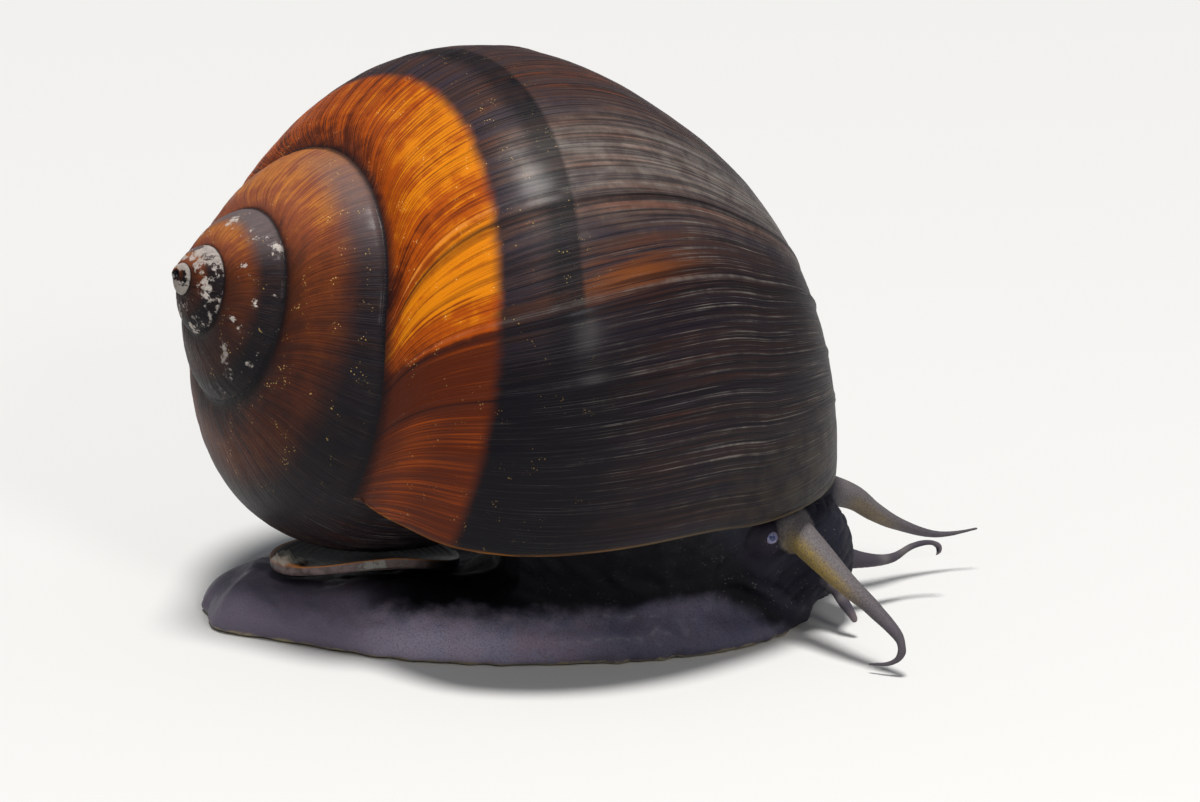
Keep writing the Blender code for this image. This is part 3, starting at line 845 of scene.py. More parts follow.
tree, given, result = new_group(
    "Specks",
    "ShaderNodeTree",
    {"Spot": (0.0, 0.0, 0.0), "Size": 0.3, "Spread": 0.5},
    {"Mask": 0.0},
)
specks = tree
inner = scaled(given["Spot"], 1.0 / given["Size"])
crowd = noise_of(inner, 0.17, 2.0)
cells = place(tree, "ShaderNodeTexVoronoi", {"Vector": inner, "Scale": 0.6, "Randomness": 1.0})
wide = given["Spread"] * ramp(crowd, 0.4, 0.65)
feed(result["Mask"], ramp(Wire(cells.outputs["Distance"]) - wide * 0.55, 0.08, 0.0))
print("groups", [group.name for group in bpy.data.node_groups if group.bl_idname == "ShaderNodeTree"])

# %% [markdown]
# ## The finish of the shell
#
# A horny skin, brown to violet-black, covers the lime of the shell, with an orange band under
# the suture. Each day's growth leaves a line along the lip, so the pattern must follow the coil:
# the finish reads the attributes that the tree stored, the growth line and the distance below
# the suture. Old whorls are worn to white lime, and the lip is thin and pale.

# %% Colours of the shell
GOLD = paint(214, 124, 10)
ORANGE = paint(164, 72, 10)
RUSSET = paint(80, 31, 12)
AGED = paint(92, 50, 30)
RUST = paint(98, 50, 30)
PATCH = paint(116, 62, 26)
CHOCOLATE = paint(66, 46, 42)
PLUM = paint(54, 44, 52)
INK = paint(13, 11, 17)
STRAND_AND_SHEEN = paint(144, 138, 132)
GLINT = paint(244, 204, 126)
OLIVE = paint(86, 82, 62)
VIOLET_SHEEN = paint(168, 150, 150)
BONE = paint(214, 204, 196)
LIP_TAN = paint(104, 88, 62)
LIP_AMBER = paint(150, 92, 26)
THROAT = paint(60, 36, 46)

# %% Places on the shell
# Depths are below the suture. Growth lines and angles rise towards the lip, where the angle is 0.84.
ORANGE_BAND = 0.385
DARK_BAND = (0.53, 0.62, 0.685, 0.71)
BAND_GAP = (-8.2, 0.75)
BRIGHT_FROM = (-1.75, -0.95)
LAST_WHORL = (-6.4, -4.6)
UNDER_SPIRE = (-3.4, -4.3)
LIT_SIDE = (-0.3, -0.95)
DARK_SIDE = (-0.7, 0.75)
PATCH_DEPTH = (0.88, 0.24)
PATCH_LINE = (-0.565, 0.05)
WORN_FROM = (-10.6, -12.4)
LIP_EDGE = (0.831, 0.84)
FIRST_HALT, SECOND_HALT, THIRD_HALT = (line for line, _ in HALTS[:3])

shell_finish, tree, shader = new_finish("shell", Coat_Roughness=0.2, IOR=1.4, Specular_IOR_Level=0.12)
lines, under, above = (read(tree, name) for name in ("growth", "below", "above"))
angle, inside = (read(tree, name) for name in ("coil", "inside"))
spot = object_spot(tree)
fine, broad, strands = use(tree, streaks, {"Line": lines, "Along": under, "Per Unit": 75.0, "Seed": 3.0})
soft, grain = use(tree, mottling, {"Spot": spot, "Size": 1.7})
recent = ramp(angle, *LAST_WHORL)
buried = ramp(angle, *UNDER_SPIRE)
lit_top = ramp(angle.math("SINE"), *LIT_SIDE)
print("halts in growth", FIRST_HALT, SECOND_HALT, THIRD_HALT)

# %% [markdown]
# The band under the suture is gold where growth was quick. It goes dull towards the second
# halt and stays so up to the lip, and the old whorls have lost their gold. In these sums a
# ramp or a bump says where, and the number that multiplies it says how much.

# %% Orange band
bright = ramp(lines, *BRIGHT_FROM, 0.5, 0.95) + 0.25 * (soft - 0.5)
bright = bright - 0.45 * bump_at(lines, FIRST_HALT - 0.1, 0.06)
bright = bright + 0.2 * bump_at(lines, FIRST_HALT + 0.12, 0.07)
bright = bright - 0.6 * ramp(lines, SECOND_HALT - 0.17, SECOND_HALT - 0.01)
bright = blend(ramp(lines, SECOND_HALT - 0.01, SECOND_HALT + 0.02), bright, 0.05)
near_suture = ramp(under, 0.1, 0.25, 0.3, 0.1)
bright = blend(ramp(lines, THIRD_HALT - 0.01, THIRD_HALT + 0.05), bright, near_suture)
# Painted light: the old whorls keep more gold and less aged brown on their lit tops.
bright = blend(recent, 0.2 + 0.35 * soft + 0.5 * lit_top, bright)
lively = ramp(lines, SECOND_HALT - 0.01, SECOND_HALT + 0.02, 1.0, 0.55)
amount = bright + lively * (0.4 * (broad - 0.5) + 0.35 * (fine - 0.5))
amount = amount - 0.45 * lively * bump_at(under, 0.0, 0.13)
orange = tints(amount, RUSSET, ORANGE, GOLD)
orange = tint((1.0 - recent) * (0.75 - 0.45 * lit_top), orange, AGED)
orange = tint(ramp(fine, 0.45, 0.1) * 0.45, orange, RUSSET)
print("nodes after the band", len(tree.nodes))

# %% [markdown]
# Below the band the whorl is brown, and each length of growth after a halt is darker than the
# one before, partly its own colour and partly painted shade. A narrow band that is nearly black
# runs round it, and near the lip dirt collects as an olive film towards the base. The lower part
# of the whorl, towards the base, is painted darker as shade.

# %% Dark body
newer = ramp(lines, FIRST_HALT, SECOND_HALT)
warm = bump_at(under, 1.0, 0.4) * 0.25 * (1.0 - newer) * recent
warm = warm + 0.25 + 0.75 * (broad - 0.5) + 0.4 * (fine - 0.5) + 0.15 * (soft - 0.5)
body = tints(warm, PLUM, CHOCOLATE, RUST)
newest = ramp(lines, SECOND_HALT, THIRD_HALT) * ramp(under, 1.1, 0.7)
# Later growth is darker, partly its own colour and partly painted shade.
body = tint(blend(recent, 0.6, newer * 0.62 + newest * 0.36), body, INK)
patch = bump_at(under, *PATCH_DEPTH) * bump_at(lines, *PATCH_LINE) * recent
body = tint(patch * ramp(broad + 0.5 * fine, 0.1, 1.0) * 0.9, body, PATCH)
# Painted shade: the lower part of the whorl towards the base is darker.
body = tint(ramp(under, 1.1, 1.6) * ramp(angle, -2.5, -4.0, 0.4, 0.95), body, INK)
dark_band = ramp(under, *DARK_BAND[:2]) * ramp(under, DARK_BAND[3], DARK_BAND[2])
body = tint(dark_band * (0.6 + 0.35 * soft) * recent, body, INK)
body = tint(ramp(fine, 0.5, 0.15) * 0.6, body, INK)
film = ramp(lines, -0.2, 0.2) * ramp(under, 1.0, 1.8) * soft
body = tint(film * 0.3, body, OLIVE)
print("nodes after the body", len(tree.nodes))

# %% Edge of the band, painted sheen and strands
edge = under + 0.016 * (broad - 0.5) + 0.012 * (fine - 0.5)
fuzz = blend(buried, 0.03, 0.13)
banded = ramp((edge - ORANGE_BAND) / fuzz, -1.0, 1.0)
banded = banded * (1.0 - bump_at(angle, *BAND_GAP))
colour = tint(banded, orange, body)
# Painted sheen: a pale violet haze on the lit tops of the old whorls.
colour = tint((1.0 - recent) * lit_top * (0.1 + 0.25 * banded), colour, VIOLET_SHEEN)
# Painted shade: the lower side of each old whorl is darker.
colour = tint(buried * ramp(angle.math("SINE"), *DARK_SIDE) * 0.8, colour, INK)
# Painted sheen: a pale beige reflection just above the first halt.
painted_sheen = ramp(under, 0.4, 0.6) * bump_at(lines, FIRST_HALT - 0.13, 0.16) * (0.3 + 0.7 * fine)
colour = tint(painted_sheen * (0.3 + 0.35 * soft) * recent * (1.0 - 0.7 * dark_band), colour, STRAND_AND_SHEEN)
# Pale strands: partly hairy lines of the horny skin, partly painted highlights on fine ridges.
pale = strands * (0.35 + 0.65 * fine) * ramp(under, 0.42, 1.4, 0.08, 0.8) * (0.25 + 0.75 * soft) * banded
colour = tint(pale * ramp(lines, -0.1, 0.25, 1.0, 0.3), colour, STRAND_AND_SHEEN)
print("nodes after the strands", len(tree.nodes))

# %% [markdown]
# Each halt has a pale edge, painted as a highlight on its ridge, and then a dark cut. Small
# flecks glint in the band, the oldest whorls are worn to lime in patches, and the groove of the
# suture is darker. The lip and the inside of the mouth come last, since they cover all the rest.

# %% Halts, wear and lip
# The pale edge of each halt is a painted highlight on its ridge.
for line, width in HALTS[:3]:
    lit = bump_at(lines, line - 1.1 * width, 0.3 * width) * ramp(under, 0.3, 0.8, 0.15, 0.42)
    colour = tint(lit * fine * (0.3 + 0.7 * soft), colour, STRAND_AND_SHEEN)
    cut = bump_at(lines, line + 0.5 * width, 0.35 * width) * (0.5 + 0.4 * broad)
    colour = tint(cut, colour, INK)
flecks = use(tree, specks, {"Spot": spot, "Size": 0.14, "Spread": 0.4})[0]
flecks = flecks * ramp(under, 1.0, 0.3, 0.0, 0.55) * ramp(soft, 0.7, 1.0)
flecks = flecks * ramp(lines, SECOND_HALT - 0.1, SECOND_HALT + 0.1, 1.0, 0.4)
colour = tint(flecks, colour, GLINT)
worn = noise_of(spot, 0.62, 5.0, 0.7) + ramp(angle, -11.0, -27.0, 0.0, 0.17) - 0.2 * bump_at(under, 0.0, 0.1)
worn = ramp(worn, 0.575, 0.635) * ramp(angle, *WORN_FROM)
colour = tint(worn * (0.55 + 0.45 * grain), colour, BONE)
crease = bump_at(under, 0.0, 0.022) + bump_at(above, 0.0, 0.03)
colour = tint(crease * 0.85, colour, INK)
lip_share = ramp(angle, *LIP_EDGE) * ramp(fine, 0.1, 0.6, 0.2, 0.8)
colour = tint(lip_share, colour, tint(ramp(under, 0.4, 1.2), LIP_AMBER, LIP_TAN))
colour = tint(inside, colour, tint(soft, THROAT, PLUM))
feed(shader.inputs["Base Color"], colour)
print("nodes after the colour", len(tree.nodes))

# %% Gloss and bump of the shell
BUMP_DEPTH = 0.06
rough = 0.47 + 0.12 * strands + 0.14 * (grain - 0.5) + 0.25 * worn - 0.1 * inside
feed(shader.inputs["Roughness"], rough)
feed(shader.inputs["Coat Weight"], ramp(worn + pale, 0.5, 0.0, 0.01, 0.07))
height = 0.5 * fine + 0.35 * broad + 0.4 * strands + 0.25 * grain + 0.4 * worn
bumped(shader, height * (1.0 - 0.8 * inside), BUMP_DEPTH)
print("nodes of the shell finish", len(tree.nodes))

# %% Shell piece
shell_sizes = {**SHELL, **LIP, **SUTURE, **COIL, "Finish": shell_finish}
shell = grown_piece("coiled_shell", shell_tree, shell_sizes)
holes = close_outwards(shell.data)
print("shell faces", len(shell.data.polygons), "open edges", holes)
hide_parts("shell")
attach(shell, "root")

# %% [markdown]
# ## Feelers
#
# The snail has two long feelers with an eye bulb at the foot of each, and two short ones, the
# palps, beside its mouth. In life they are smooth tapering tubes that bend freely, so each is
# a tube along a curve through a few stations of x, y, z and radius. They could be curve objects
# with a bevel, but the body is joined from closed meshes, so they are lofted as meshes.

# %% Lines of the soft parts
FEELERS = {
    "tentacle_right": [
        (20.6, -4.2, 10.4, 1.5),
        (22.0, -5.9, 10.1, 1.42),
        (24.6, -9.2, 8.2, 1.22),
        (27.4, -12.6, 6.1, 0.86),
        (29.2, -14.5, 4.9, 0.66),
        (30.7, -15.9, 3.6, 0.48),
        (31.3, -16.5, 2.6, 0.36),
        (31.2, -16.6, 1.7, 0.27),
        (30.4, -16.3, 1.05, 0.2),
        (28.9, -15.6, 0.75, 0.12),
    ],
    "tentacle_left": [
        (24.4, 0.0, 9.9, 1.5),
        (25.4, 0.8, 10.0, 1.42),
        (28.6, 4.2, 8.3, 1.05),
        (30.4, 5.5, 6.7, 0.82),
        (32.9, 7.7, 4.8, 0.54),
        (35.5, 9.3, 3.6, 0.35),
        (37.2, 10.0, 3.4, 0.24),
        (39.35, 10.47, 3.68, 0.13),
    ],
    "palp_right": [
        (25.0, -3.6, 5.6, 1.0),
        (25.6, -4.4, 5.2, 0.85),
        (26.5, -5.7, 4.2, 0.66),
        (27.3, -6.5, 3.0, 0.5),
        (28.2, -7.1, 1.55, 0.3),
    ],
    "palp_left": [
        (25.8, -2.4, 5.5, 1.3),
        (26.6, -1.6, 5.2, 1.12),
        (29.2, 0.0, 4.3, 0.66),
        (31.7, 1.8, 3.9, 0.4),
        (33.5, 2.6, 4.65, 0.28),
        (34.8, 2.9, 4.85, 0.21),
        (35.65, 3.0, 4.55, 0.17),
        (35.75, 3.0, 4.05, 0.14),
        (35.4, 3.0, 3.75, 0.12),
    ],
}
HEAD_LINE = [
    (14.5, -3.6, 7.6, 4.3),
    (19.5, -2.6, 7.9, 5.0),
    (23.0, -2.4, 8.3, 4.6),
    (25.4, -2.7, 7.1, 3.6),
    (26.3, -3.1, 5.2, 2.6),
    (26.4, -3.2, 2.9, 1.9),
]
# The front edge of the foot rolls up into a fold on each side of the head, with flesh behind it.
ROLL_RIGHT = [
    (15.8, -8.9, 5.4, 0.6),
    (18.5, -8.8, 5.75, 0.9),
    (20.8, -8.2, 4.6, 0.95),
    (22.6, -7.1, 3.0, 0.95),
    (23.8, -5.2, 1.6, 0.9),
    (24.4, -2.6, 1.2, 0.8),
]
FURROW = [
    (16.6, -9.2, 4.9, 0.6),
    (18.9, -9.1, 4.3, 0.6),
    (20.8, -8.7, 3.0, 0.6),
    (22.3, -7.8, 1.9, 0.5),
]
ROLL_LEFT = [(x, -0.6 - y, z, radius) for x, y, z, radius in ROLL_RIGHT]
ROLL_BACK_AFT = 0.4
ROLL_BACK_IN = 1.5
ROLL_BACK_DOWN = 1.3
ROLL_BACK_SWELL = 0.5
OFF_FLOOR = 0.4
ROLL_LIFT = 0.95
FURROW_DEPTH = 0.3
FURROW_WIDTH = 1.4
CHIN = [
    (15.0, -3.4, 5.2, 4.4),
    (18.5, -3.4, 4.8, 4.2),
    (21.5, -3.2, 4.3, 3.7),
    (23.8, -3.1, 3.7, 2.9),
    (25.2, -3.1, 3.2, 2.2),
]
EYES = {
    "right": {"bulb": (20.8, -7.9, 9.1), "eye": (21.5, -9.0, 8.95), "look": (0.2, -1.0, 0.12)},
    "left": {"bulb": (24.8, 4.1, 9.1), "eye": (25.5, 5.15, 8.95), "look": (0.2, 1.0, 0.12)},
}
BULB_RADIUS = 1.35
EYE_RADIUS = 0.54

# %% Tubes
def smooth_line(stations, count):
    """Evenly spaced points, with their radii, on a smooth curve through the stations."""
    stations = np.array(stations, float)
    steps = np.linalg.norm(np.diff(stations[:, :3], axis=0), axis=1) ** 0.5
    knots = np.concatenate([[0.0], np.cumsum(steps)])
    slopes = np.gradient(stations, knots, axis=0)
    fine = np.linspace(0.0, knots[-1], 40 * len(stations))
    span = np.clip(np.searchsorted(knots, fine, side="right") - 1, 0, len(knots) - 2)
    width = (knots[span + 1] - knots[span])[:, None]
    u = (fine[:, None] - knots[span][:, None]) / width
    curve = (
        (2 * u**3 - 3 * u**2 + 1) * stations[span]
        + (u**3 - 2 * u**2 + u) * width * slopes[span]
        + (3 * u**2 - 2 * u**3) * stations[span + 1]
        + (u**3 - u**2) * width * slopes[span + 1]
    )
    gone = np.cumsum(np.linalg.norm(np.diff(curve[:, :3], axis=0, prepend=curve[:1, :3]), axis=1))
    even = np.linspace(0.0, gone[-1], count)
    return np.stack([np.interp(even, gone, column) for column in curve.T], axis=1)


def add_tube(bm, stations, grow, around=20):
    """Adds a round-ended tube, grow thicker than its stations say."""
    line = smooth_line(stations, 14 * len(stations))
    ways = np.gradient(line[:, :3], axis=0)
    ways /= np.linalg.norm(ways, axis=1)[:, None]
    side = np.cross(ways[0], (0.0, 0.0, 1.0))
    rings = []
    lifts = {0: (-0.9, -0.5, 0.0), len(line) - 1: (0.0, 0.5, 0.9)}
    for row, spot in enumerate(line):
        side = side - ways[row] * np.dot(side, ways[row])
        side /= np.linalg.norm(side)
        other = np.cross(ways[row], side)
        for lift in lifts.get(row, (0.0,)):
            radius = (spot[3] + grow) * math.sqrt(1.0 - lift * lift)
            middle = spot[:3] + ways[row] * lift * (spot[3] + grow)
            rings.append(
                [
                    bm.verts.new(middle + radius * (math.cos(a) * side + math.sin(a) * other))
                    for a in np.linspace(0.0, TURN, around, endpoint=False)
                ]
            )
    for low, high in zip(rings, rings[1:]):
        for k in range(around):
            bm.faces.new((low[k], low[k - 1], high[k - 1], high[k]))
    bm.faces.new(rings[0])
    bm.faces.new(rings[-1][::-1])


print("feelers and palps", list(FEELERS))

# %% [markdown]
# ## One skin for all the flesh
#
# In life the foot, trunk, neck, head and feelers are one wet skin without a seam. The packed
# solids are parted by thin gaps, so each is copied, grown by a little more than half a gap,
# and laid into the others; a voxel remesh fuses them, and the new surface is drawn back by the
# same amount. Subdivision modelling of the whole body would need a cage with every branch in
# it, and this way the skin always follows the solids.

# %% Fuse the flesh
FLESH = ["mantle", "trunk", "neck", "head", "snout", "foot_front", "foot_middle", "foot_tail"]
GROW = 0.24
VOXEL = 0.2
MOST_TRIANGLES = 188000
feeler_nodes = [f"tentacle_{side}_{piece}" for side in EYES for piece in ("base", "middle", "tip")]
feeler_nodes += [f"palp_{side}_{piece}" for side in EYES for piece in ("base", "tip")]
feeler_nodes += [f"eyestalk_{side}" for side in EYES]


def add_node_copy(bm, name, grow):
    """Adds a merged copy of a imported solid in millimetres, with its faces moved out by grow."""
    part = bmesh.new()
    part.from_mesh(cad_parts[name].data)
    bmesh.ops.remove_doubles(part, verts=part.verts, dist=1e-7)
    bmesh.ops.scale(part, vec=(1 / MM, 1 / MM, 1 / MM), verts=part.verts)
    part.normal_update()
    for corner, step in [(v, v.normal * grow * v.calc_shell_factor()) for v in part.verts]:
        corner.co += step if step.length < 2 * grow else step.normalized() * 2 * grow
    copy = bpy.data.meshes.new(name)
    part.to_mesh(copy)
    part.free()
    bm.from_mesh(copy)
    bpy.data.meshes.remove(copy)


bm = bmesh.new()
for name in FLESH:
    add_node_copy(bm, name, GROW)
for stations in (*FEELERS.values(), ROLL_RIGHT, ROLL_LEFT, CHIN):
    add_tube(bm, stations, GROW)
for roll, inwards in ((ROLL_RIGHT, ROLL_BACK_IN), (ROLL_LEFT, -ROLL_BACK_IN)):
    behind = []
    for x, y, z, radius in roll[:4]:
        radius += ROLL_BACK_SWELL
        height = max(z - ROLL_BACK_DOWN, radius + OFF_FLOOR)
        behind.append((x - ROLL_BACK_AFT, y + inwards, height, radius))
    add_tube(bm, behind, GROW)
for side in EYES.values():
    made = bmesh.ops.create_icosphere(bm, subdivisions=3, radius=BULB_RADIUS + GROW)
    bmesh.ops.translate(bm, vec=side["bulb"], verts=made["verts"])
skin = mesh_object("skin", bm)
remesh = skin.modifiers.new("remesh", "REMESH")
remesh.mode = "VOXEL"
remesh.voxel_size = VOXEL
apply_modifiers(skin)
print("fused skin", len(skin.data.vertices), "corners")

# %% [markdown]
# ## Folds and wrinkles
#
# A snail's skin is soft: it rounds every join, folds where the foot rolls up at the front, and
# wrinkles across the snout. Sculpting would do it by eye. Here each kind of fold is a small
# function that moves the corners of the skin along their normals, so it stays where the body
# part is, and each can be turned up or down alone.

# %% Skin as arrays
class Skin:
    """The corners of the skin as arrays, with smoothing and movement along the normals."""

    def __init__(self, mesh):
        self.mesh = mesh
        self.places = np.empty(3 * len(mesh.vertices))
        mesh.vertices.foreach_get("co", self.places)
        self.places = self.places.reshape(-1, 3)
        edges = np.empty(2 * len(mesh.edges), int)
        mesh.edges.foreach_get("vertices", edges)
        self.edges = edges.reshape(-1, 2)
        count = np.bincount(edges, minlength=len(self.places))
        self.neighbours = np.maximum(count, 1)[:, None]

    def average(self, values):
        """The mean of each corner's neighbours."""
        first, second = self.edges.T
        total = np.stack(
            [
                np.bincount(first, column[second], len(values))
                + np.bincount(second, column[first], len(values))
                for column in values.T
            ],
            axis=1,
        )
        return total / self.neighbours

    def smooth(self, strength, rounds):
        for _ in range(rounds):
            self.places += strength[:, None] * (self.average(self.places) - self.places)

    def normals(self):
        self.mesh.vertices.foreach_set("co", self.places.ravel())
        self.mesh.update()
        flat = np.empty(3 * len(self.places))
        self.mesh.vertices.foreach_get("normal", flat)
        return flat.reshape(-1, 3)

    def push(self, distance):
        self.places += self.normals() * distance[:, None]


# %% Soft steps, bells and waves
FAR = 99.0
NEAR_LINE = 3.0


def smoothstep(value, start, end):
    share = np.clip((value - start) / (end - start), 0.0, 1.0)
    return share * share * (3.0 - 2.0 * share)


def bell(value, centre, width):
    return np.exp(-(((value - centre) / width) ** 2))


def waves(places, length, seed, count=7):
    """Soft lumps of about the given length, from a few sines that run different ways."""
    rng = np.random.default_rng(seed)
    total = np.zeros(len(places))
    for _ in range(count):
        way = rng.normal(size=3)
        way *= TURN / length / np.linalg.norm(way) * rng.uniform(0.7, 1.4)
        total += np.sin(places @ way + rng.uniform(0.0, TURN))
    return total / math.sqrt(count)


def nearest(places, stations, reach=NEAR_LINE):
    """Distance to a line as a share of its radius there, and how far along it, for corners in reach."""
    line = smooth_line(stations, 90)
    low, high = line[:, :3].min(0) - reach, line[:, :3].max(0) + reach
    found = np.flatnonzero(((places > low) & (places < high)).all(axis=1))
    off = np.full(len(places), FAR)
    along = np.zeros(len(places))
    gaps = np.linalg.norm(places[found][:, None, :] - line[None, :, :3], axis=2)
    ratio = gaps / line[None, :, 3]
    best = ratio.argmin(axis=1)
    off[found] = ratio[np.arange(len(found)), best]
    along[found] = best / (len(line) - 1.0)
    return off, along


# %% Round the joins
JOIN_SOFTNESS = 0.55
JOIN_ROUNDS = 34
FRONT_SOFTNESS = 0.65
FRONT_ROUNDS = 90
LAST_SOFTNESS = 0.35
LAST_ROUNDS = 8
body = Skin(skin.data)
body.push(np.full(len(body.places), -GROW))
feeler_off = {name: nearest(body.places, stations) for name, stations in FEELERS.items()}


def feeler_share(off, along):
    """1 on a feeler, and 0 on the rest of the body, with a soft step at its root."""
    return smoothstep(-off, -1.45, -1.12) * smoothstep(along, 0.04, 0.2)


feeler = np.max([feeler_share(*found) for found in feeler_off.values()], axis=0)
x, y, z = body.places.T
softness = JOIN_SOFTNESS * (1.0 - feeler) * smoothstep(z, 0.3, 2.2)
softness *= 1.0 - 0.7 * smoothstep(x, 20.0, 23.0) * smoothstep(z, 3.0, 5.0)
softness *= 1.0 - 0.25 * smoothstep(x, 14.0, 18.0)
body.smooth(softness + 0.02, JOIN_ROUNDS)
x, y, z = body.places.T
front = smoothstep(x, 11.0, 14.0) * smoothstep(z, 0.8, 2.0) * smoothstep(-z, -7.5, -6.0)
front *= np.abs(y + 0.3) > 4.0
body.smooth(FRONT_SOFTNESS * front * (1.0 - feeler), FRONT_ROUNDS)
for roll in (ROLL_RIGHT, ROLL_LEFT):
    roll_off, _ = nearest(body.places, roll)
    body.push(ROLL_LIFT * np.maximum(1.0 - roll_off, 0.0))
furrow_off, _ = nearest(body.places, FURROW)
body.push(-FURROW_DEPTH * bell(furrow_off, 0.0, FURROW_WIDTH))
body.smooth(LAST_SOFTNESS * smoothstep(z, 0.4, 1.0) * (1.0 - feeler) + 0.04, LAST_ROUNDS)
print("corners on the feelers", int((feeler > 0.5).sum()))

# %% [markdown]
# The eye of this snail sits on a short bulb at the foot of the long feeler, in a little moat.

# %% Eye bulbs
MOAT_DEPTH = 0.32
MOAT_OUT = 0.45
MOAT_WIDTH = 0.38
bulb_share = np.zeros(len(body.places))
eye_gap = np.full(len(body.places), FAR)
for side in EYES.values():
    from_bulb = body.places - np.array(side["bulb"])
    gap = np.linalg.norm(from_bulb, axis=1)
    outwards = np.array(side["eye"]) - np.array(side["bulb"])
    outwards /= np.linalg.norm(outwards)
    facing = (from_bulb @ outwards) / np.maximum(gap, 0.01)
    side_gap = np.sqrt(np.maximum(gap**2 - (from_bulb @ outwards) ** 2, 0.0))
    near = smoothstep(facing, -0.1, 0.3) * (gap < 4.0) * (1.0 - feeler)
    moat = bell(side_gap, BULB_RADIUS + MOAT_OUT, MOAT_WIDTH)
    body.places -= (near * moat * MOAT_DEPTH)[:, None] * outwards
    lift = np.maximum(BULB_RADIUS + 0.1 - gap, 0.0) * smoothstep(facing, 0.2, 0.6)
    body.places += (lift / np.maximum(gap, 0.01))[:, None] * from_bulb
    bulb_share = np.maximum(bulb_share, near * smoothstep(-side_gap, -BULB_RADIUS - 0.3, -BULB_RADIUS))
    eye_gap = np.minimum(eye_gap, np.linalg.norm(body.places - np.array(side["eye"]), axis=1))
body.smooth(0.4 * smoothstep(-eye_gap, -4.0, -3.0), 3)
print("corners on the bulbs", int((bulb_share > 0.5).sum()))

# %% Fold it
HEAD_REACH = 6.0
LUMPS = ((0.05, 3.4, 1), (0.03, 1.5, 2))
SNOUT_RING = 0.07
FLANK_FOLD = 0.045
LONG_FOLD = 0.035
TRUNK_PLEAT = 0.12
FEELER_RING = 0.005
FEELER_RINGS = {"tentacle": 260.0, "palp": 120.0}
head_off, _ = nearest(body.places, HEAD_LINE, HEAD_REACH)
x, y, z = body.places.T
head = smoothstep(-head_off, -1.7, -1.2) * smoothstep(x, 19.0, 22.0) * (1.0 - feeler) * (1.0 - bulb_share)
lumps = sum(rise * waves(body.places, length, seed) for rise, length, seed in LUMPS)
down_snout = 0.47 * x - 0.88 * z
rings = np.sin(6.2 * down_snout + 0.5 * y + 0.9 * waves(body.places, 3.5, 3))
snout_rings = -SNOUT_RING * head * smoothstep(rings, 0.35, 1.0)

foot = smoothstep(-z, -6.0, -4.0)
across_folds = np.sin(1.55 * x + 2.3 * z + 0.5 * y + 1.1 * waves(body.places, 6.0, 4))
fold_place = bell(x, 15.5, 4.0) * smoothstep(z, 0.8, 2.0) * foot
long_folds = np.sin(0.5 * x + 3.1 * z + waves(body.places, 5.0, 5))
flank_folds = FLANK_FOLD * fold_place * across_folds
flank_folds = flank_folds + LONG_FOLD * foot * smoothstep(z, 0.8, 2.0) * long_folds

around = np.arctan2(y + 3.0, x - 8.6)
trunk = smoothstep(z, 4.8, 6.5) * smoothstep(-x, -19.5, -17.5) * smoothstep(x, 1.0, 5.0)
pleats = np.sin(21.0 * around + 0.9 * z + 1.4 * waves(body.places, 5.0, 6))
trunk_folds = TRUNK_PLEAT * trunk * pleats * (1.0 - head)

feeler_rings = np.zeros(len(body.places))
for name, (off, along) in feeler_off.items():
    rings = np.sin(along * FEELER_RINGS[name.split("_")[0]] + waves(body.places, 1.5, 7))
    feeler_rings += FEELER_RING * smoothstep(-off, -1.45, -1.12) * rings * smoothstep(-along, -0.7, -0.4)
still = smoothstep(z, 0.35, 1.6) * (1.0 - 0.8 * bulb_share)
folds = (1.0 - feeler) * lumps + snout_rings + flank_folds + trunk_folds
body.push(still * folds + feeler_rings)
print("folds in mm", round(float(folds.min()), 2), round(float(folds.max()), 2))

# %% [markdown]
# The sole is flat on the floor, and its rim is a thin, slightly wavy frill. The mouth is an
# upright slit at the end of the snout with lips that pucker towards it.

# %% Sole, frill and mouth
MOUTH = np.array((26.5, -3.2, 2.0))
TAIL_RISE = 0.2
TAIL_POINT = 1.35
TAIL_CORNER = 1.5
TAIL_SLANT = 0.5
TRUNK_BACK_IN = 1.8
FRILL = 0.1
PUCKER = 0.07
SLIT_DEPTH = 0.6
CHIN_LIFT = 0.9
x, y, z = body.places.T
chin_lift = smoothstep(x, 24.0, 25.6) * smoothstep(-z, -4.5, -2.5) * (1.0 - feeler)
chin_lift *= smoothstep(-head_off, -1.7, -1.2) * (y > -8.0)
hind = smoothstep(-x, 19.0, 23.0)
corner = bell(np.hypot(x + 21.0, y + 4.6), 0.0, 3.2)
forward = TAIL_SLANT * z * hind - TAIL_POINT * hind * bell(y, 2.8, 2.6) - TAIL_CORNER * corner
forward += TRUNK_BACK_IN * smoothstep(-x, -2.0, 0.5) * smoothstep(z, 4.4, 6.0)
sideways = -0.5 * TAIL_CORNER * corner
body.places[:, 2] *= 1.0 + TAIL_RISE * bell(x, -19.8, 2.4)
body.places[:, 0] += forward
body.places[:, 1] += sideways
body.smooth(0.6 * hind * smoothstep(z, 0.3, 1.2), 30)
edge = bell(z, 0.45, 0.4) * smoothstep(z, 0.02, 0.2) * (1.0 - feeler)
edge *= 1.0 - smoothstep(x, 24.6, 26.0)
body.push(edge * (FRILL + FRILL * waves(body.places * (1.0, 1.0, 0.0), 1.7, 8)))
from_mouth = body.places - MOUTH
spread = np.hypot(from_mouth[:, 0], from_mouth[:, 1])
low_end = bell(from_mouth[:, 2], 0.0, 1.3) * (spread < 3.0)
slit = bell(from_mouth[:, 1], 0.0, 0.28) * bell(from_mouth[:, 0], 0.0, 1.2)
turn = np.arctan2(from_mouth[:, 1], from_mouth[:, 0])
pucker = PUCKER * np.sin(15.0 * turn) * bell(spread, 1.0, 0.6)
body.push(low_end * (pucker - SLIT_DEPTH * slit) * (z > 0.3))
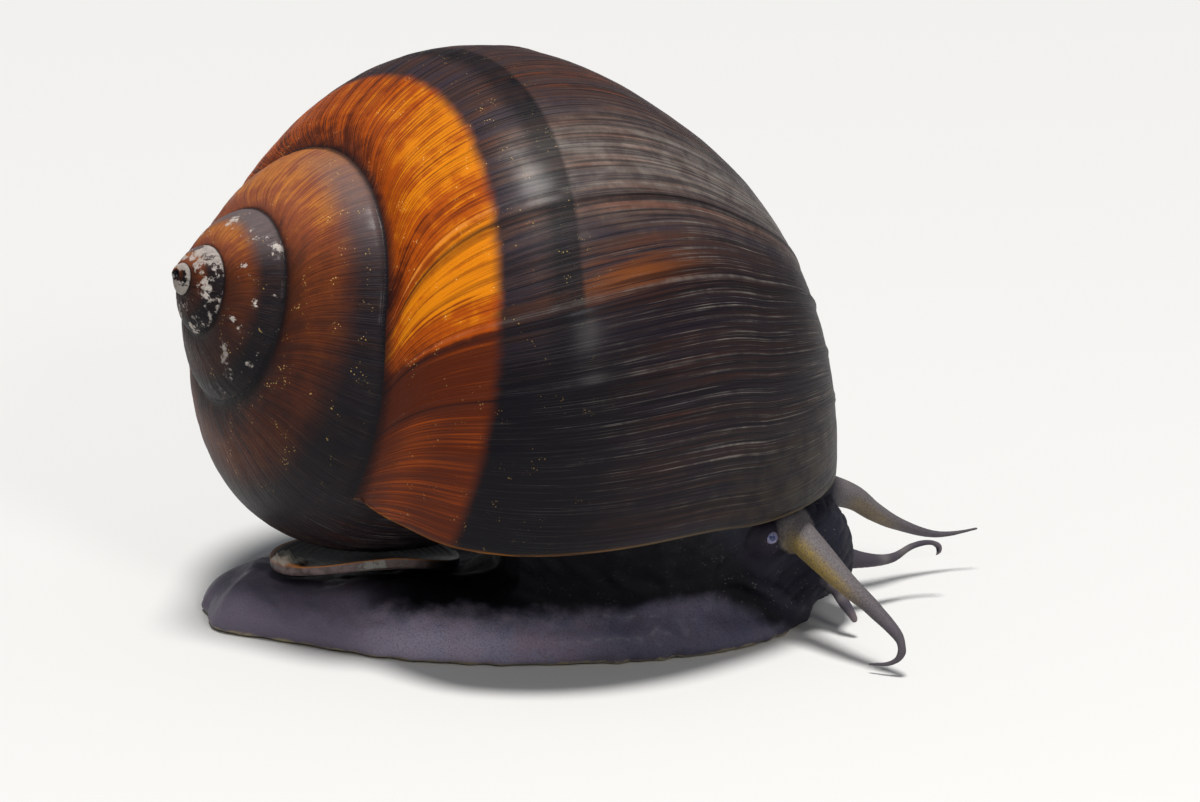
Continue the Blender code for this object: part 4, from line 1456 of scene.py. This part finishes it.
body.places[:, 2] += CHIN_LIFT * chin_lift
body.places[:, 2] = np.maximum(body.places[:, 2], 0.0)
body.normals()
print("skin box", body.places.min(0).round(2), body.places.max(0).round(2))

# %% Thin the mesh and mark it
def keep(mesh, name, values):
    """Stores one number for each corner of a mesh."""
    mesh.attributes.new(name, "FLOAT", "POINT").data.foreach_set("value", values.astype(np.float32))


thin = skin.modifiers.new("thin", "DECIMATE")
thin.ratio = min(1.0, MOST_TRIANGLES / (2.0 * len(skin.data.polygons)))
apply_modifiers(skin)
body = Skin(skin.data)
normals = body.normals()
hollow = ((body.average(body.places) - body.places) * normals).sum(axis=1)
furrow_off, _ = nearest(body.places, FURROW)
roll_off, _ = nearest(body.places, ROLL_RIGHT)
# The furrow is marked as hollow for painted shade, and the crest of the roll as raised for a painted
# highlight.
fold_marks = 0.7 * bell(furrow_off, 0.0, 1.2) - 0.9 * bell(roll_off, 0.7, 0.5)
for _ in range(2):
    hollow = body.average(hollow[:, None])[:, 0]
found = {name: nearest(body.places, stations) for name, stations in FEELERS.items()}
tentacle = np.max([feeler_share(*found[name]) for name in found if "tentacle" in name], axis=0)
palp = np.max([feeler_share(*found[name]) for name in found if "palp" in name], axis=0)
along = np.max([off_along[1] * (off_along[0] < 1.5) for off_along in found.values()], axis=0)
low_side = normals @ np.array((-0.35, -0.45, -0.82))
bulb = np.max(
    [bell(np.linalg.norm(body.places - side["bulb"], axis=1), 0.0, 1.9) for side in EYES.values()],
    axis=0,
)
amber = tentacle * smoothstep(low_side, -0.35, 0.45) * (1.0 - 0.6 * (body.places[:, 1] > -1.0))
marks = {
    "tentacle": tentacle,
    "palp": palp,
    "along": along,
    "bulb": bulb * (1.0 - tentacle),
    "amber": amber * smoothstep(along, 0.19, 0.3) * smoothstep(-along, -0.66, -0.45),
    "hollow": np.clip(hollow / 0.02 + fold_marks, -1.0, 1.0),
}
for name, values in marks.items():
    keep(skin.data, name, values)
skin.data.transform(Matrix.Scale(MM, 4))
skin.data.shade_smooth()
print("skin triangles", sum(len(face.vertices) - 2 for face in skin.data.polygons))

# %% [markdown]
# ## The finish of the skin
#
# The skin is wet and dark with a violet cast. Above the flank of the foot it is nearly black,
# partly its own colour and partly painted shadow under the shell. Where light falls on the flank
# of the foot it is a dull slate violet with soft blue and rosy clouds, painted paler towards the
# hind end, the rim of the sole is pale, and the long feelers have an amber side. Hollows and folds
# are painted darker as shade, and raised folds lighter as highlights. Height above the floor and
# the marks stored on the skin place these colours, so they stay with the body parts from every
# side.

# %% Colours of the skin
SLATE = paint(128, 121, 140)
ROSE = paint(130, 110, 126)
MIST = paint(176, 166, 186)
DEEP_SLATE = paint(60, 59, 76)
BLUE = paint(110, 118, 146)
NIGHT = paint(13, 13, 18)
TAIL_VIOLET = paint(78, 71, 86)
HEAD_SLATE = paint(31, 32, 42)
SOLE_TAN = paint(150, 138, 112)
AMBER = paint(148, 126, 66)
DUSK = paint(118, 112, 112)
FEELER_SLATE = paint(76, 71, 80)
TIP_PALE = paint(118, 108, 112)
BULB_BROWN = paint(44, 34, 44)

# %% Flank, tail and head
FLANK_TOP = 4.0
FLANK_RISE = 0.9
FLANK_FALL_FROM = 16.8
FLANK_FALL = 0.6
TAIL_FROM = (-6.0, -13.0)
HEAD_FROM = (22.0, 25.0)

skin_finish, tree, shader = new_finish("skin", Coat_Roughness=0.22, IOR=1.36, Specular_IOR_Level=0.16)
spot = object_spot(tree)
x, _, height = parts_of(spot)
soft, grain = use(tree, mottling, {"Spot": spot, "Size": 2.6})
elsewhere = vector_sum(spot, (31.0, 7.0, 3.0))
small, fine_grain = use(tree, mottling, {"Spot": elsewhere, "Size": 1.1})
marks = {name: read(tree, name) for name in ("tentacle", "palp", "along", "bulb", "amber", "hollow")}

flank = tint(0.4 + 0.5 * small, tints(soft, BLUE, SLATE, ROSE), SLATE)
# Painted light: the hind flank is made paler to lift it out of the shell's shadow.
flank = tint(ramp(x, 3.0, -3.0) * 0.4, flank, MIST)
flank = tint(ramp(x, 2.0, 11.0) * 0.8, flank, DEEP_SLATE)
flank = tint(ramp(fine_grain, 0.45, 0.7) * 0.35, flank, NIGHT)
# Painted shadow: above this line, under the shell, the skin turns nearly black.
top_line = FLANK_TOP + ramp(x, 6.0, 15.0, 0.0, FLANK_RISE) + 0.5 * (soft - 0.5)
top_line = top_line - FLANK_FALL * (x - FLANK_FALL_FROM).math("MAXIMUM", 0.0)
dark = ramp(height - top_line, -1.2, 0.4) * ramp(x, -14.0, -9.0)
colour = tint(dark, flank, NIGHT)
colour = tint(ramp(x, *TAIL_FROM) * 0.75, colour, TAIL_VIOLET)
colour = tint(ramp(x + 0.6 * height, *HEAD_FROM), colour, HEAD_SLATE)
print("nodes after the flank", len(tree.nodes))

# %% Feelers, palps and bulbs
feeler_colour = tint(ramp(fine_grain, 0.4, 0.62) * 0.6, DUSK, FEELER_SLATE)
feeler_colour = tint(ramp(marks["along"], 0.45, 0.8) * 0.6, feeler_colour, FEELER_SLATE)
colour = tint(marks["tentacle"] * 0.85, colour, feeler_colour)
speckled = marks["amber"] * ramp(fine_grain, 0.62, 0.42, 0.35, 1.0)
colour = tint(speckled, colour, AMBER)
# Painted highlights: two pale bands across each palp.
palp_highlights = bump_at(marks["along"], 0.5, 0.05) + bump_at(marks["along"], 0.68, 0.05)
palp_colour = tint(palp_highlights * 0.6, FEELER_SLATE, DUSK)
palp_colour = tint(ramp(marks["along"], 0.82, 1.0), palp_colour, TIP_PALE)
colour = tint(marks["palp"] * 0.85, colour, palp_colour)
colour = tint(marks["bulb"] * 0.8, colour, BULB_BROWN)
print("nodes after the feelers", len(tree.nodes))

# %% Folds, sole and gloss
# Painted shade in hollows and folds, and a painted highlight on raised folds.
colour = tint(ramp(marks["hollow"], 0.1, 0.9) * 0.55, colour, NIGHT)
painted_ridge_light = ramp(marks["hollow"], -0.2, -1.0) * 0.18 * (1.0 - marks["tentacle"]) * (1.0 - dark)
colour = tint(painted_ridge_light, colour, DUSK)
colour = tint(ramp(height + 0.25 * small, 0.62, 0.3) * (1.0 - marks["tentacle"]), colour, SOLE_TAN)
pale = use(tree, specks, {"Spot": spot, "Size": 0.22, "Spread": 0.3})[0]
colour = tint(pale * ramp(x, 10.0, 20.0, 0.1, 0.35), colour, DUSK)
feed(shader.inputs["Base Color"], colour)
feed(shader.inputs["Coat Weight"], 0.05 * (1.0 - dark))
feed(shader.inputs["Roughness"], 0.44 + 0.18 * (grain - 0.5) + 0.1 * (small - 0.5) + 0.15 * dark)
bumped(shader, 0.4 * small + 0.5 * fine_grain + 0.35 * grain, BUMP_DEPTH)
skin.data.materials.append(skin_finish)
print("nodes of the skin finish", len(tree.nodes))
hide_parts(*FLESH, *feeler_nodes)
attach(skin, "root")

# %% [markdown]
# ## The horny plate
#
# On the back of its foot the snail carries the plate that shuts the mouth of the shell. It
# grows in rings from a point near its middle, is brown and fibrous at its rim, and here has a
# little grey crust at its hind edge. The CAD solid has its dish and outline; this piece repeats
# them and adds the rings, the layered rim and the crust as rings of corners on an oval.

# %% Outline of the plate
PLATE_CENTRE = (-11.0, -1.0)
PLATE_HALVES = (7.68, 7.58)
PLATE_THICKNESS = 0.8
PLATE_LOW = 4.6
PLATE_SPOT = (-8.0, 2.5)
PLATE_CURVES = (0.0033, 0.0225, 0.00125)
PLATE_RINGS = 44
PLATE_AROUND = 180
NUCLEUS = (0.12, 0.2)


def plate_top(x, y):
    """Height of the upper face of the plate, as in the CAD."""
    long_curve, across_curve, flattening = PLATE_CURVES
    along, across = x - PLATE_SPOT[0], y - PLATE_SPOT[1]
    curve = across_curve + flattening * np.minimum(along, 0.0)
    return PLATE_LOW + long_curve * along**2 + curve * across**2


def plate_ring(share, sink):
    """One ring of corners at a share of the way out, sunk below the upper face."""
    angle = np.linspace(0.0, TURN, PLATE_AROUND, endpoint=False)
    reach = share + 0.006 * np.sin(7.0 * angle + 1.0) * share**6 - 0.006 * share**6
    x = PLATE_CENTRE[0] + PLATE_HALVES[0] * (reach * np.cos(angle) + NUCLEUS[0] * (1.0 - share))
    y = PLATE_CENTRE[1] + PLATE_HALVES[1] * (reach * np.sin(angle) + NUCLEUS[1] * (1.0 - share))
    z = plate_top(x, y) - sink
    return np.stack([x, y, z], axis=1)


# %% Rings of the plate
GROWTH_STEPS = 11.0
STEP_RISE = 0.06
RIM_DROP = 0.05
RIM_LAYERS = ((0.25, -0.004), (0.5, 0.0), (0.75, -0.002), (1.0, -0.012))
UNDER_RINGS = 12
UNDER_REACH = 0.98
rings, shares, layers = [], [], []
for row in range(1, PLATE_RINGS + 1):
    share = row / PLATE_RINGS
    step = STEP_RISE * (share * GROWTH_STEPS % 1.0) + RIM_DROP * bell(share, 1.0, 0.02)
    rings.append(plate_ring(share, 0.02 + step))
    shares.append(share)
    layers.append(1.0)
for part, bulge in RIM_LAYERS:
    rings.append(plate_ring(1.0 + bulge, PLATE_THICKNESS * part))
    shares.append(1.0)
    layers.append(1.0 - part)
for row in range(UNDER_RINGS, 0, -1):
    rings.append(plate_ring(UNDER_REACH * row / UNDER_RINGS, PLATE_THICKNESS))
    shares.append(UNDER_REACH * row / UNDER_RINGS)
    layers.append(0.0)

bm = bmesh.new()
layer_rows = [[bm.verts.new(corner) for corner in ring] for ring in rings]
for low, high in zip(layer_rows, layer_rows[1:]):
    for k in range(PLATE_AROUND):
        bm.faces.new((low[k - 1], low[k], high[k], high[k - 1]))
for ring in (layer_rows[0], layer_rows[-1]):
    middle = bm.verts.new(np.mean([corner.co for corner in ring], axis=0))
    for k in range(PLATE_AROUND):
        bm.faces.new((ring[k - 1], ring[k], middle))
bmesh.ops.recalc_face_normals(bm, faces=bm.faces)
plate = mesh_object("horny_plate", bm)

# %% Crust on the plate
CRUST_PLACE = (-17.2, -4.6)
CRUST_WIDTH = 1.5
CRUST_RISE = 0.9
CRUST_LUMPS = 0.3
share_of = np.append(np.repeat(shares, PLATE_AROUND), (0.0, 0.0))
layer_of = np.append(np.repeat(layers, PLATE_AROUND), (1.0, 0.0))
surface = Skin(plate.data)
x, y, _ = surface.places.T
crust = bell(np.hypot(x - CRUST_PLACE[0], y - CRUST_PLACE[1]), 0.0, CRUST_WIDTH)
crust *= layer_of > 0.9
surface.places[:, 2] += crust * (CRUST_RISE + CRUST_LUMPS * waves(surface.places, 0.9, 11))
surface.normals()
for name, values in (("ring", share_of), ("layer", layer_of), ("crust", crust)):
    keep(plate.data, name, values)
plate.data.transform(Matrix.Scale(MM, 4))
plate.data.shade_smooth()
print("plate faces", len(plate.data.polygons))

# %% [markdown]
# The upper face of the plate is dark horn, darker still as painted shade under the shell, with
# fine growth lines and a brighter rim, and its front is painted dark as shade. Its edge and
# underside are pearly, with a pale painted highlight in front, and the crust is nearly white.

# %% Plate finish
HORN = paint(168, 108, 60)
DARK_AND_SHADED_HORN = paint(30, 22, 19)
PEARL = paint(112, 97, 96)
CRUST = paint(170, 170, 162)
PLATE_GLINT_PLACE = (-9.5, 2.5)
SHADED_FRONT = (-7.5, -4.5)

plate_finish, tree, shader = new_finish("operculum", Coat_Weight=0.05, IOR=1.4, Specular_IOR_Level=0.25)
spot = object_spot(tree)
ring, layer, crust_share = (read(tree, name) for name in ("ring", "layer", "crust"))
x, y, _ = parts_of(spot)
turn = (y - PLATE_CENTRE[1]).math("ARCTAN2", x - PLATE_CENTRE[0])
fine, broad, strands = use(tree, streaks, {"Line": ring, "Along": turn, "Per Unit": 55.0, "Seed": 8.0})
soft, grain = use(tree, mottling, {"Spot": spot, "Size": 0.8})
# The upper face is dark horn, partly its own colour and partly painted shade under the shell.
colour = tint(0.25 * broad * fine, DARK_AND_SHADED_HORN, HORN)
colour = tint(ramp(ring, 0.94, 0.975) * ramp(layer, 0.6, 0.85), colour, HORN)
colour = tint(ramp(layer, 0.9, 0.7), colour, tint(soft * 0.7, PEARL, DARK_AND_SHADED_HORN))
# Painted highlight: a pale glint on the edge of the plate in front.
plate_glint = ramp(soft + grain, 1.0, 1.45) * bump_at(x, *PLATE_GLINT_PLACE) * ramp(layer, 0.95, 0.75)
colour = tint(plate_glint * 0.6, colour, CRUST)
colour = tint(ramp(x, *SHADED_FRONT) * 0.8, colour, DARK_AND_SHADED_HORN)
colour = tint(ramp(crust_share, 0.12, 0.4) * (0.5 + 0.5 * grain), colour, CRUST)
feed(shader.inputs["Base Color"], colour)
feed(shader.inputs["Roughness"], 0.5 + 0.2 * (grain - 0.5) + 0.25 * crust_share)
bumped(shader, 0.5 * fine + 0.3 * strands + 0.5 * grain, BUMP_DEPTH)
plate.data.materials.append(plate_finish)
print("nodes of the plate finish", len(tree.nodes))
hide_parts("operculum")
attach(plate, "root")

# %% [markdown]
# ## The eyes
#
# Each eye is a small clear dome with a dark blue pupil, a pale ring and a pinkish rim, at the
# tip of its bulb; the rim is partly its own colour and partly a painted highlight on the bulb.
# A ball is the natural start; each corner keeps its angle from the middle of the pupil, so the
# rings of colour stay round whichever way the eye looks.

# %% Finish of the eyes
PUPIL = paint(34, 44, 92)
IRIS = paint(104, 114, 152)
# The pinkish rim also stands in for a painted highlight of light on the bulb.
EYE_RIM = paint(140, 122, 140)
EYE_BACK = paint(60, 42, 54)
PUPIL_EDGE = (0.13, 0.18)
IRIS_EDGE = (0.29, 0.34)
RIM_EDGE = (0.40, 0.47)

eye_finish, tree, shader = new_finish("eye", Roughness=0.12, Coat_Weight=0.5, Coat_Roughness=0.05, IOR=1.4)
soft, _ = use(tree, mottling, {"Spot": object_spot(tree), "Size": 0.12})
wobble = read(tree, "ring") + 0.02 * (soft - 0.5)
colour = tint(ramp(wobble, *PUPIL_EDGE), PUPIL, tint(soft * 0.4, IRIS, EYE_RIM))
colour = tint(ramp(wobble, *IRIS_EDGE), colour, EYE_RIM)
colour = tint(ramp(wobble, *RIM_EDGE), colour, EYE_BACK)
feed(shader.inputs["Base Color"], colour)
print("nodes of the eye finish", len(tree.nodes))

# %% Eyes
EYE_SINK = 0.15
EYE_DEPTH = 0.85
for label, side in EYES.items():
    way = (Vector(side["eye"]) - Vector(side["bulb"])).normalized()
    bm = bmesh.new()
    bmesh.ops.create_uvsphere(bm, u_segments=48, v_segments=40, radius=EYE_RADIUS)
    angles = np.array([math.acos(max(-1.0, min(1.0, v.co.z / EYE_RADIUS))) / math.pi for v in bm.verts])
    bmesh.ops.scale(bm, vec=(1.0, 1.0, EYE_DEPTH), verts=bm.verts)
    ball = mesh_object("eyeball_" + label, bm)
    keep(ball.data, "ring", angles)
    at_tip = Matrix.Translation(Vector(side["bulb"]) + way * (BULB_RADIUS - EYE_SINK))
    turned = Vector(side["look"]).to_track_quat("Z", "Y").to_matrix().to_4x4()
    ball.data.transform(Matrix.Scale(MM, 4) @ at_tip @ turned)
    ball.data.shade_smooth()
    ball.data.materials.append(eye_finish)
    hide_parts("eye_" + label)
    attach(ball, "root")
